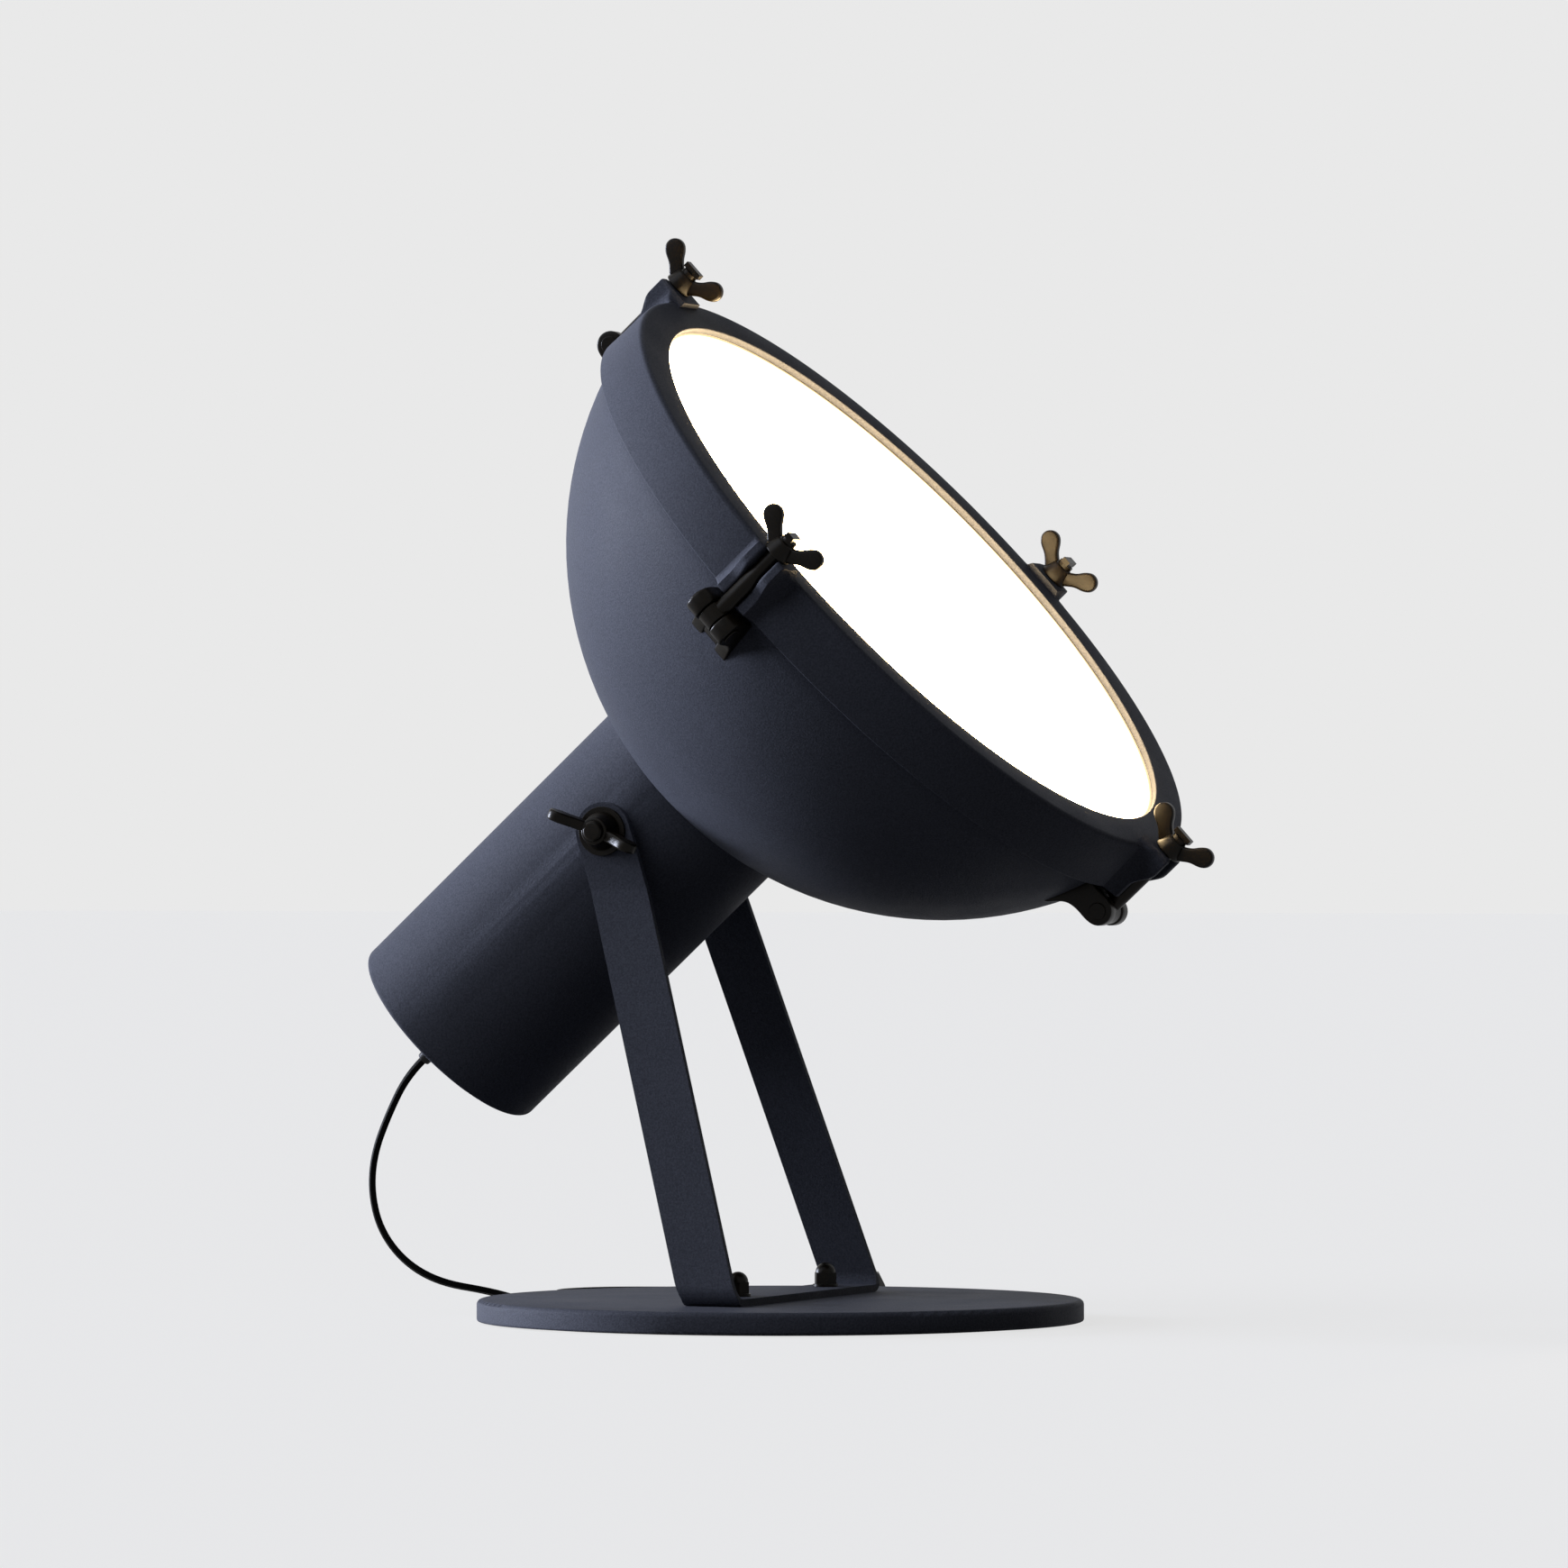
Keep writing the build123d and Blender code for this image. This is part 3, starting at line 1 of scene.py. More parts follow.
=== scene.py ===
"""Looks of a tabletop searchlight lamp: its finishes, rounded edges, flex, lit glass and studio.

Everything is in metres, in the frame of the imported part. Lengths written in millimetres are
multiplied by MM.
"""

import json
import math

import bmesh
import bpy
from mathutils import Matrix, Vector


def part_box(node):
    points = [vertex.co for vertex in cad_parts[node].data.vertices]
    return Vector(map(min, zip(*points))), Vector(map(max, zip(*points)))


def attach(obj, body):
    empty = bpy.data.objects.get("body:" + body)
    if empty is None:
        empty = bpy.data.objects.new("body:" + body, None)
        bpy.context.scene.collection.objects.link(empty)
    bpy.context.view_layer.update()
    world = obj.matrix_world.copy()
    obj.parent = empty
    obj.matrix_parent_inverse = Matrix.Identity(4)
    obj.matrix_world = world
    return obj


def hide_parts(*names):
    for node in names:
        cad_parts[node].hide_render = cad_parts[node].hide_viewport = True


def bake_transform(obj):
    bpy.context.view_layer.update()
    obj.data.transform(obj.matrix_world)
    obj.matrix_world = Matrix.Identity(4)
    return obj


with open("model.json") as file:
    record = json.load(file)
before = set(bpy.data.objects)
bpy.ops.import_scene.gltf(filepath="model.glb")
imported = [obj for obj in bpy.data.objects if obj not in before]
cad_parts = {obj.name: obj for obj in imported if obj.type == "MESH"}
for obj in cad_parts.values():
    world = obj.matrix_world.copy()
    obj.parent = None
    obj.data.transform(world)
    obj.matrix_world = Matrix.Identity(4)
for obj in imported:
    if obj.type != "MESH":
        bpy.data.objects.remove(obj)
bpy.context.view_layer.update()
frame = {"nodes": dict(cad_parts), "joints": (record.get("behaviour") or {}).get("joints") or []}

bl_info = {
    "name": "Searchlight Lamp Dresser",
    "version": (1, 0, 0),
    "blender": (4, 5, 0),
    "location": "View3D > Sidebar > Searchlight",
    "description": "Dresses a tabletop searchlight lamp with its finishes, flex and studio",
    "category": "Object",
}

MM = 0.001
SHARP = 32.0  # Edges sharper than this angle, in degrees, are rounded and shaded as edges.
WELD = 0.005 * MM  # Points nearer than this are one point.
# Angle of each clamp about the head's axis, in degrees from its top side.
CLAMPS = {"top": 0, "near": 90, "bottom": 180, "far": 270}
# Places in the head, in millimetres: along its axis from the pivot, and out from the axis.
CLAMP_PIN_ALONG = 149.0
CLAMP_OUT = 189.2
# The front ring, in millimetres. Its steps are counted in from its outside.
RING_OUT = 183.5
RING_DRAFT = 1.0
RING_LENGTH = 28.4
RING_CORNER = 2.5
RING_EDGE = 0.6
RING_LIP = 3.4
RING_WALL = 3.3
RING_REAR_STEP = 6.0
RING_GLASS_STEP = 6.4
RING_GLASS_ALONG = 18.1
# The ring's forked ears, in millimetres.
EAR_HALF = 9.6
EAR_SLOT_R = 4.5
EAR_REAR_LENGTH = 8.6
EAR_SHOULDER = 13.0
EAR_REAR_OUT = 189.6
EAR_FRONT_OUT = 195.2
EAR_FOOT = 16.5
EAR_FLANK = 0.14
EAR_CLIFF = 6.0
EAR_CLIFF_SPREAD = 0.6
EAR_FLANK_DROP = 0.3
EAR_BLEND = 1.6
EAR_SLOT_EDGE = 1.2
EAR_FRONT_EDGE = 1.6
EAR_REAR_EDGE = 0.8
EAR_ROOT_OUT = 177.5
EAR_SINK = 0.4  # Depth of the flanks' ends in the ring.
# Where an ear's surface is sampled: out from its middle, and along from its rear.
EAR_ACROSSES = (
    0, 1.5, 2.8, 3.8, 4.3, 4.49, 4.51, 4.6, 4.8, 5.1, 5.6, 6.2, 7.2, 8.0, 8.5, 8.9, 9.2, 9.4,
    9.6, 9.8, 10.1, 10.5, 11.0, 11.6, 12.3, 13.1, 14.0, 15.0, 16.0, 17.0,
)
EAR_ALONGS = (
    0, 0.1, 0.3, 0.8, 2.5, 5, 7.5, 9.5, 11, 12.5, 14, 15.5, 17, 18.5, 20, 21.5, 24, 26.5, 28.8,
    29.8, 30.4, 30.9, 31.2, 31.45, 31.58, 31.63,
)


# ---- Where the head is ----

tilt_joint = next(joint for joint in frame["joints"] if joint["name"] == "head_tilt")
pivot = Vector(tilt_joint["pos_m"])


def box_middle(node):
    """Middle of a CAD node's box."""
    low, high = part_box(node)
    return (low + high) / 2


head_axis = (box_middle("front_glass") - pivot).normalized()
head_side = Vector((0, -1, 0))
head_up = head_side.cross(head_axis)
# Turns a shape made about +Z, with its foot at the pivot, into the head's place.
head_turn = Matrix((head_up, head_side, head_axis)).transposed()
head_place = Matrix.Translation(pivot) @ head_turn.to_4x4()


def head_extent(node):
    """Least and greatest place of a node along the head's axis, then its distances out from it."""
    along, out = [], []
    for vertex in frame["nodes"][node].data.vertices:
        reach = vertex.co - pivot
        along.append(reach.dot(head_axis))
        out.append((reach - head_axis * along[-1]).length)
    return min(along), max(along), min(out), max(out)


# ---- Colour and nodes ----

def linear(hex_colour):
    """Linear colour, with alpha, of an sRGB hex value."""
    channels = [int(hex_colour[i : i + 2], 16) / 255 for i in (1, 3, 5)]
    return tuple(
        c / 12.92 if c <= 0.04045 else ((c + 0.055) / 1.055) ** 2.4 for c in channels
    ) + (1.0,)


def add_node(tree, kind, sockets=(), **settings):
    """Adds a node. sockets pairs each input with a value or with another node's output."""
    node = tree.nodes.new(kind)
    for name, value in settings.items():
        setattr(node, name, value)
    for name, value in dict(sockets).items():
        if isinstance(value, bpy.types.NodeSocket):
            tree.links.new(value, node.inputs[name])
        else:
            node.inputs[name].default_value = value
    return node


def new_material(name):
    """An empty node material, with its output node."""
    material = bpy.data.materials.new(name)
    material.use_nodes = True
    material.node_tree.nodes.clear()
    return material, material.node_tree, add_node(material.node_tree, "ShaderNodeOutputMaterial")


def place_of(tree):
    """Object coordinates, in metres from the lamp's origin."""
    return add_node(tree, "ShaderNodeTexCoord").outputs["Object"]


def grained(name, low, high, roughness, grain, depth, metallic=0.0, specular=0.5, patch=30 * MM):
    """A finish with a fine even grain, and a tone and gloss that drift slightly over the surface.

    grain is the size of one grain and depth its height, patch the size of the drift, all in metres.
    """
    material, tree, output = new_material(name)
    place = place_of(tree)
    fine = add_node(
        tree,
        "ShaderNodeTexNoise",
        {"Vector": place, "Scale": 1 / grain, "Detail": 2.0, "Roughness": 0.6},
    )
    wide = add_node(
        tree,
        "ShaderNodeTexNoise",
        {"Vector": place, "Scale": 1 / patch, "Detail": 3.0, "Roughness": 0.55},
    )
    blend = add_node(
        tree,
        "ShaderNodeMath",
        {0: wide.outputs["Fac"], 1: 0.2, 2: fine.outputs["Fac"]},
        operation="MULTIPLY_ADD",
    )
    tone = add_node(tree, "ShaderNodeValToRGB", {"Fac": blend.outputs[0]})
    tone.color_ramp.elements[0].position = 0.45
    tone.color_ramp.elements[0].color = low
    tone.color_ramp.elements[1].position = 0.75
    tone.color_ramp.elements[1].color = high
    gloss = add_node(
        tree,
        "ShaderNodeMapRange",
        {
            "Value": wide.outputs["Fac"],
            "From Min": 0.3,
            "From Max": 0.7,
            "To Min": roughness - 0.04,
            "To Max": roughness + 0.05,
        },
    )
    bump = add_node(
        tree,
        "ShaderNodeBump",
        {"Height": fine.outputs["Fac"], "Strength": 1.0, "Distance": depth},
    )
    shader = add_node(
        tree,
        "ShaderNodeBsdfPrincipled",
        {
            "Base Color": tone.outputs["Color"],
            "Roughness": gloss.outputs["Result"],
            "Normal": bump.outputs["Normal"],
            "Metallic": metallic,
            "Specular IOR Level": specular,
        },
    )
    tree.links.new(shader.outputs["BSDF"], output.inputs["Surface"])
    return material


# ---- Meshes ----

def finish_mesh(shape, name, sharp=SHARP):
    """A mesh object from a bmesh, smooth except at edges sharper than an angle in degrees."""
    mesh = bpy.data.meshes.new(name)
    shape.to_mesh(mesh)
    shape.free()
    mesh.polygons.foreach_set("use_smooth", [True] * len(mesh.polygons))
    mesh.set_sharp_from_angle(angle=math.radians(sharp))
    piece = bpy.data.objects.new(name, mesh)
    bpy.context.scene.collection.objects.link(piece)
    return piece


def round_edges(piece, width):
    """Rounds the sharp edges of a piece by a width in metres."""
    bevel = piece.modifiers.new("Rounded edges", "BEVEL")
    bevel.width = width
    bevel.segments = 3
    bevel.limit_method = "ANGLE"
    bevel.angle_limit = math.radians(SHARP)
    bevel.miter_outer = "MITER_ARC"
    bevel.harden_normals = True


def merged(node):
    """A bmesh of a CAD node, its loose triangles merged into faces."""
    shape = bmesh.new()
    shape.from_mesh(frame["nodes"][node].data)
    for layer in list(shape.loops.layers.float_vector.values()):
        shape.loops.layers.float_vector.remove(layer)
    bmesh.ops.remove_doubles(shape, verts=shape.verts, dist=0.002 * MM)
    bmesh.ops.dissolve_limit(
        shape,
        angle_limit=math.radians(0.4),
        verts=shape.verts,
        edges=shape.edges,
        use_dissolve_boundaries=False,
    )
    return shape


def seat(piece, body, material, node):
    """Puts a piece on its body, in place of a CAD node, with its material."""
    piece.data.materials.clear()
    piece.data.materials.append(material)
    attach(piece, body)
    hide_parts(node)


def dressed(node, body, material, edge):
    """A CAD node's own shape, with its edges rounded and its finish on."""
    piece = finish_mesh(merged(node), f"{node}_finished")
    round_edges(piece, edge)
    seat(piece, body, material, node)


def turned(outline, place, steps=192):
    """A bmesh of a closed outline of (out, along) points, in metres, turned about a place's Z."""
    shape = bmesh.new()
    corners = [shape.verts.new((out, 0, along)) for out, along in outline]
    edges = [shape.edges.new(pair) for pair in zip(corners, corners[1:] + corners[:1])]
    bmesh.ops.spin(
        shape,
        geom=corners + edges,
        cent=(0, 0, 0),
        axis=(0, 0, 1),
        angle=2 * math.pi,
        steps=steps,
        use_merge=True,
    )
    bmesh.ops.remove_doubles(shape, verts=shape.verts, dist=WELD)
    bmesh.ops.recalc_face_normals(shape, faces=shape.faces)
    bmesh.ops.transform(shape, matrix=place, verts=shape.verts)
    return shape


def plate(outline, thickness, edge, place):
    """A bmesh of a plate with rounded edges.

    Its outline is the smooth closed curve that (x, y) points in metres pull.
    """
    curve = bpy.data.curves.new("plate", "CURVE")
    curve.dimensions = "2D"
    curve.fill_mode = "BOTH"
    curve.resolution_u = 4
    curve.extrude = thickness / 2 - edge
    curve.bevel_depth = edge
    curve.bevel_resolution = 3
    curve.offset = -edge
    spline = curve.splines.new("NURBS")
    spline.points.add(len(outline) - 1)
    for point, (x, y) in zip(spline.points, outline):
        point.co = (x, y, 0.0, 1.0)
    spline.order_u = 3
    spline.use_cyclic_u = True
    cut = bpy.data.objects.new("plate", curve)
    bpy.context.scene.collection.objects.link(cut)
    bpy.context.view_layer.update()
    graph = bpy.context.evaluated_depsgraph_get()
    mesh = bpy.data.meshes.new_from_object(cut.evaluated_get(graph))
    bpy.data.objects.remove(cut)
    shape = bmesh.new()
    shape.from_mesh(mesh)
    bmesh.ops.remove_doubles(shape, verts=shape.verts, dist=WELD)
    bmesh.ops.recalc_face_normals(shape, faces=shape.faces)
    bmesh.ops.transform(shape, matrix=place, verts=shape.verts)
    return shape


def joined(name, shapes, sharp=SHARP):
    """One mesh object of several bmeshes."""
    whole = bmesh.new()
    for shape in shapes:
        part = bpy.data.meshes.new("part")
        shape.to_mesh(part)
        shape.free()
        whole.from_mesh(part)
        bpy.data.meshes.remove(part)
    return finish_mesh(whole, name, sharp)


def facing(origin, x_way, y_way):
    """The place whose X and Y go the given ways."""
    z_way = x_way.cross(y_way)
    return Matrix.Translation(origin) @ Matrix((x_way, y_way, z_way)).transposed().to_4x4()


def head_radial(angle):
    """Direction out from the head's axis, counted from its top side."""
    turn = math.radians(angle)
    return head_up * math.cos(turn) + head_side * math.sin(turn)


def arc(centre, radius, start, end, steps):
    """Points of a round stretch of an outline, between two angles in degrees from the out way."""
    turns = [math.radians(start + (end - start) * step / steps) for step in range(steps + 1)]
    return [(centre[0] + radius * math.cos(t), centre[1] + radius * math.sin(t)) for t in turns]


# ---- Settings ----

class SearchlightSizes(bpy.types.PropertyGroup):
    """Sizes that belong to the looks alone."""

    soft_edge: bpy.props.FloatProperty(
        name="Soft edge",
        description="Rounding that the coat leaves on a cut edge",
        default=0.5 * MM,
        unit="LENGTH",
    )
    grain: bpy.props.FloatProperty(
        name="Coat grain",
        description="Size of one grain of the powder coat, drawn coarse so that it shows",
        default=0.9 * MM,
        unit="LENGTH",
    )
    grain_depth: bpy.props.FloatProperty(
        name="Coat grain depth",
        description="Height of the powder coat's grain",
        default=0.16 * MM,
        unit="LENGTH",
    )
    flex_width: bpy.props.FloatProperty(
        name="Flex width",
        description="Width of the flat twin flex",
        default=5.4 * MM,
        unit="LENGTH",
    )
    flex_height: bpy.props.FloatProperty(
        name="Flex height",
        description="Thickness of the flat twin flex",
        default=2.9 * MM,
        unit="LENGTH",
    )


class SearchlightColours(bpy.types.PropertyGroup):
    """Colours of the finishes."""

    coat: bpy.props.FloatVectorProperty(
        name="Coat",
        description="Blue-black powder coat of the head, yoke and base",
        default=linear("#4A4C54")[:3],
        subtype="COLOR",
        size=3,
    )
    coat_dark: bpy.props.FloatVectorProperty(
        name="Coat, dark grain",
        description="Darkest tone in the coat's grain",
        default=linear("#3C3E45")[:3],
        subtype="COLOR",
        size=3,
    )
    blacked: bpy.props.FloatVectorProperty(
        name="Blacked steel",
        description="Blacked steel of the clamps and wing nuts",
        default=linear("#0A0805")[:3],
        subtype="COLOR",
        size=3,
    )
    light: bpy.props.FloatVectorProperty(
        name="Light",
        description="Warm light of the bulb through the frosted glass",
        default=linear("#FFDDA6")[:3],
        subtype="COLOR",
        size=3,
    )
    flex: bpy.props.FloatVectorProperty(
        name="Flex",
        description="Black sheath of the flex, the switch and the plug",
        default=linear("#060606")[:3],
        subtype="COLOR",
        size=3,
    )
    background: bpy.props.FloatVectorProperty(
        name="Background",
        description="Pale floor and background",
        default=linear("#E9E9E9")[:3],
        subtype="COLOR",
        size=3,
    )


def sizes():
    return bpy.context.scene.searchlight_sizes


def colours():
    return bpy.context.scene.searchlight_colours


def opaque(colour):
    return tuple(colour) + (1.0,)


# ---- Materials, each made once ----

made = {}


def once(make):
    """Keeps the material that a function makes, so that each is made once."""
    if make.__name__ not in made:
        made[make.__name__] = make()
    return made[make.__name__]


def powder_coat():
    """Stoved powder coat: satin, with an even fine grain that breaks up the highlights."""
    return grained(
        "Powder coat, satin blue-black",
        opaque(colours().coat_dark),
        opaque(colours().coat),
        roughness=0.6,
        grain=sizes().grain,
        depth=sizes().grain_depth,
        specular=0.03,
    )


def blacked_steel():
    """Blacked and oiled steel: nearly black, smooth, with a soft warm gloss."""
    return grained(
        "Blacked steel",
        opaque(colours().blacked),
        linear("#140F08"),
        roughness=0.32,
        grain=1.4 * MM,
        depth=0.03 * MM,
        specular=0.09,
        patch=8 * MM,
    )


def zinc_steel():
    """Zinc-plated steel: bright grey metal, slightly mottled."""
    return grained(
        "Zinc-plated steel",
        linear("#8E9093"),
        linear("#A9ABAE"),
        roughness=0.38,
        grain=0.8 * MM,
        depth=0.01 * MM,
        metallic=1.0,
        patch=6 * MM,
    )


def felt():
    """Pressed wool felt: matt, with short loose fibres."""
    return grained(
        "Black wool felt",
        linear("#141414"),
        linear("#262626"),
        roughness=0.95,
        grain=0.7 * MM,
        depth=0.3 * MM,
        specular=0.2,
    )


def vulcan_fibre():
    """Vulcanised fibre: smooth dull reddish-brown sheet."""
    return grained(
        "Vulcanised fibre",
        linear("#4A2A1E"),
        linear("#5C382A"),
        roughness=0.6,
        grain=0.5 * MM,
        depth=0.02 * MM,
    )


def sheath():
    """PVC sheath of the flex: smooth and dull."""
    return grained(
        "Black PVC sheath",
        opaque(colours().flex),
        linear("#0A0A0A"),
        roughness=0.5,
        grain=0.8 * MM,
        depth=0.01 * MM,
        specular=0.03,
    )


def moulded_plastic():
    """Moulded ABS: an even spark-eroded grain on the outside."""
    return grained(
        "Black moulded ABS",
        linear("#0A0A0A"),
        linear("#101010"),
        roughness=0.42,
        grain=0.5 * MM,
        depth=0.03 * MM,
        specular=0.15,
    )


def nickel():
    """Nickel-plated brass: bright, faintly yellow metal."""
    return grained(
        "Nickel-plated brass",
        linear("#B9B3A6"),
        linear("#CBC5B9"),
        roughness=0.25,
        grain=1.0 * MM,
        depth=0.004 * MM,
        metallic=1.0,
        patch=5 * MM,
    )


# The glass is fully lit out to one share of its radius, and has its rim's strength from the other:
# a painted shade that dims the glow towards the rim.
LIT_SHARE = 0.936
RIM_SHARE = 0.962
LIT_STRENGTH = 34.0
RIM_STRENGTH = 1.15


def frosted_glass():
    """Sandblasted glass lit from behind: evenly bright, with painted shade that dims it to a weak
    warm rim.
    """
    material, tree, output = new_material("Sandblasted glass, lit")
    place = place_of(tree)
    _, glass_front, _, glass_r = head_extent("front_glass")
    centre = pivot + head_axis * glass_front
    on_glass = add_node(
        tree,
        "ShaderNodeMapping",
        {"Vector": place, "Location": centre, "Rotation": head_place.to_euler()},
        vector_type="TEXTURE",
    )
    flat = add_node(
        tree,
        "ShaderNodeVectorMath",
        {0: on_glass.outputs[0], 1: (1.0, 1.0, 0.0)},
        operation="MULTIPLY",
    )
    out = add_node(tree, "ShaderNodeVectorMath", {0: flat.outputs[0]}, operation="LENGTH")
    # Painted shade: the glow is turned down towards the glass's rim.
    painted_rim_shade = add_node(
        tree,
        "ShaderNodeMapRange",
        {
            "Value": out.outputs["Value"],
            "From Min": glass_r * LIT_SHARE,
            "From Max": glass_r * RIM_SHARE,
            "To Min": LIT_STRENGTH,
            "To Max": RIM_STRENGTH,
        },
        interpolation_type="SMOOTHSTEP",
    )
    frost = add_node(
        tree,
        "ShaderNodeTexNoise",
        {"Vector": place, "Scale": 1 / (0.6 * MM), "Detail": 2.0},
    )
    bump = add_node(tree, "ShaderNodeBump", {"Height": frost.outputs["Fac"], "Distance": 0.02 * MM})
    shader = add_node(
        tree,
        "ShaderNodeBsdfPrincipled",
        {
            "Base Color": linear("#F2EFE8"),
            "Roughness": 0.55,
            "IOR": 1.5,
            "Normal": bump.outputs["Normal"],
            "Emission Color": opaque(colours().light),
            "Emission Strength": painted_rim_shade.outputs["Result"],
        },
    )
    tree.links.new(shader.outputs["BSDF"], output.inputs["Surface"])
    return material


def opal_glass():
    """Opal glass of the bulb: milky and glossy."""
    return grained(
        "Opal glass",
        linear("#F1EEE6"),
        linear("#F7F5EF"),
        roughness=0.15,
        grain=3 * MM,
        depth=0.004 * MM,
    )


def spun_aluminium():
    """Bright spun aluminium of the reflector."""
    return grained(
        "Spun aluminium",
        linear("#C8C9CB"),
        linear("#DADBDC"),
        roughness=0.2,
        grain=1.5 * MM,
        depth=0.01 * MM,
        metallic=1.0,
    )


def glazed_porcelain():
    """Glazed porcelain of the lampholder."""
    return grained(
        "Glazed porcelain",
        linear("#E9E6DD"),
        linear("#F1EFE8"),
        roughness=0.12,
        grain=4 * MM,
        depth=0.01 * MM,
    )


def white_plastic():
    """White polyamide of the terminal block."""
    return grained(
        "White polyamide",
        linear("#DAD9D4"),
        linear("#E8E7E2"),
        roughness=0.45,
        grain=0.6 * MM,
        depth=0.02 * MM,
    )


def gasket_rubber():
    """Heatproof silicone rubber: matt black."""
    return grained(
        "Silicone rubber",
        linear("#1D1C1B"),
        linear("#2A2927"),
        roughness=0.7,
        grain=0.8 * MM,
        depth=0.02 * MM,
    )


# ---- Operators ----

class SEARCHLIGHT_OT_base(bpy.types.Operator):
    """Round base plate with its felt and the two fixings of the yoke"""

    bl_idname = "searchlight.base"
    bl_label = "Base"

    def execute(self, context):
        edge = sizes().soft_edge
        dressed("base_plate", "root", once(powder_coat), edge)
        dressed("base_pad", "root", once(felt), edge)
        dressed("base_bolts", "root", once(zinc_steel), edge / 2)
        dressed("base_washers", "root", once(blacked_steel), edge / 3)
        dressed("base_cap_nuts", "root", once(blacked_steel), edge)
        return {"FINISHED"}


class SEARCHLIGHT_OT_yoke(bpy.types.Operator):
    """Bent strap that carries the head"""

    bl_idname = "searchlight.yoke"
    bl_label = "Yoke"

    def execute(self, context):
        dressed("yoke_strap", "root", once(powder_coat), sizes().soft_edge)
        return {"FINISHED"}


class SEARCHLIGHT_OT_housing(bpy.types.Operator):
    """Tube housing with its rear cap, screws and cord gland"""

    bl_idname = "searchlight.housing"
    bl_label = "Housing"

    def execute(self, context):
        edge = sizes().soft_edge
        dressed("housing_tube", "head", once(powder_coat), edge)
        dressed("rear_cap", "head", once(powder_coat), edge)
        dressed("rear_cap_screws", "head", once(blacked_steel), edge / 3)
        dressed("cord_gland", "head", once(moulded_plastic), edge)
        return {"FINISHED"}


class SEARCHLIGHT_OT_bowl(bpy.types.Operator):
    """Spun bowl of the head"""

    bl_idname = "searchlight.bowl"
    bl_label = "Bowl"

    def execute(self, context):
        dressed("bowl", "head", once(powder_coat), sizes().soft_edge)
        return {"FINISHED"}


def rounding(depth, radius):
    """How far a rounded corner falls away, at a depth in from the edge that it rounds."""
    short = max(radius - depth, 0.0)
    return radius - math.sqrt(max(radius**2 - short**2, 0.0))


def soft_least(a, b, blend):
    """The lesser of two heights, with a rounded change from one to the other."""
    near = max(blend - abs(a - b), 0.0) / blend
    return min(a, b) - near**2 * blend / 4


def ear_height(across, along, end):
    """Distance of an ear's surface from the head's axis, in millimetres; end is the ear's front."""
    if across <= EAR_SLOT_R:
        return CLAMP_OUT - math.sqrt(EAR_SLOT_R**2 - across**2)
    climb = min(max((along - EAR_REAR_LENGTH) / EAR_SHOULDER, 0.0), 1.0)
    side = EAR_REAR_OUT + (EAR_FRONT_OUT - EAR_REAR_OUT) * climb**2 * (3 - 2 * climb)
    ring = math.sqrt(RING_OUT**2 - across**2) - RING_DRAFT * along / RING_LENGTH
    flank = ring - EAR_FLANK_DROP + EAR_FLANK * max(EAR_FOOT - across, 0.0) ** 2
    flank += EAR_CLIFF * max(EAR_HALF + EAR_CLIFF_SPREAD - across, 0.0) ** 1.5
    fall = rounding(across - EAR_SLOT_R, EAR_SLOT_EDGE)
    fall += rounding(end - along, EAR_FRONT_EDGE) + rounding(along, EAR_REAR_EDGE)
    return max(soft_least(side, flank, EAR_BLEND) - fall, ring - EAR_SINK)


def ring_ear(angle, rear):
    """A bmesh of one forked ear: a middle that carries the nut, and flanks into the ring."""
    acrosses = [-step for step in EAR_ACROSSES[:0:-1]] + list(EAR_ACROSSES)
    shape = bmesh.new()
    columns, rows = len(acrosses) - 1, len(EAR_ALONGS) - 1
    bmesh.ops.create_grid(shape, x_segments=columns, y_segments=rows, size=1.0)
    radial = head_radial(angle)
    across_way = radial.cross(head_axis)
    for vertex in shape.verts:
        across = acrosses[round((vertex.co.x + 1) / 2 * columns)]
        along = EAR_ALONGS[round((vertex.co.y + 1) / 2 * rows)]
        # Past the nut's part, the ear ends at the ring's front.
        overhang = min(max((abs(across) - EAR_HALF - 0.2) / 2, 0.0), 1.0)
        end = EAR_ALONGS[-1] - (EAR_ALONGS[-1] - RING_LENGTH + EAR_SINK) * overhang
        along *= end / EAR_ALONGS[-1]
        out = ear_height(abs(across), along, end)
        vertex.co = pivot + head_axis * (rear + along * MM)
        vertex.co += (radial * out + across_way * across) * MM
    top = shape.faces[:]
    grown = bmesh.ops.extrude_face_region(shape, geom=top, use_keep_orig=True)
    for vertex in (item for item in grown["geom"] if isinstance(item, bmesh.types.BMVert)):
        vertex.co -= radial * ((vertex.co - pivot).dot(radial) - EAR_ROOT_OUT * MM)
    bmesh.ops.recalc_face_normals(shape, faces=shape.faces)
    return shape


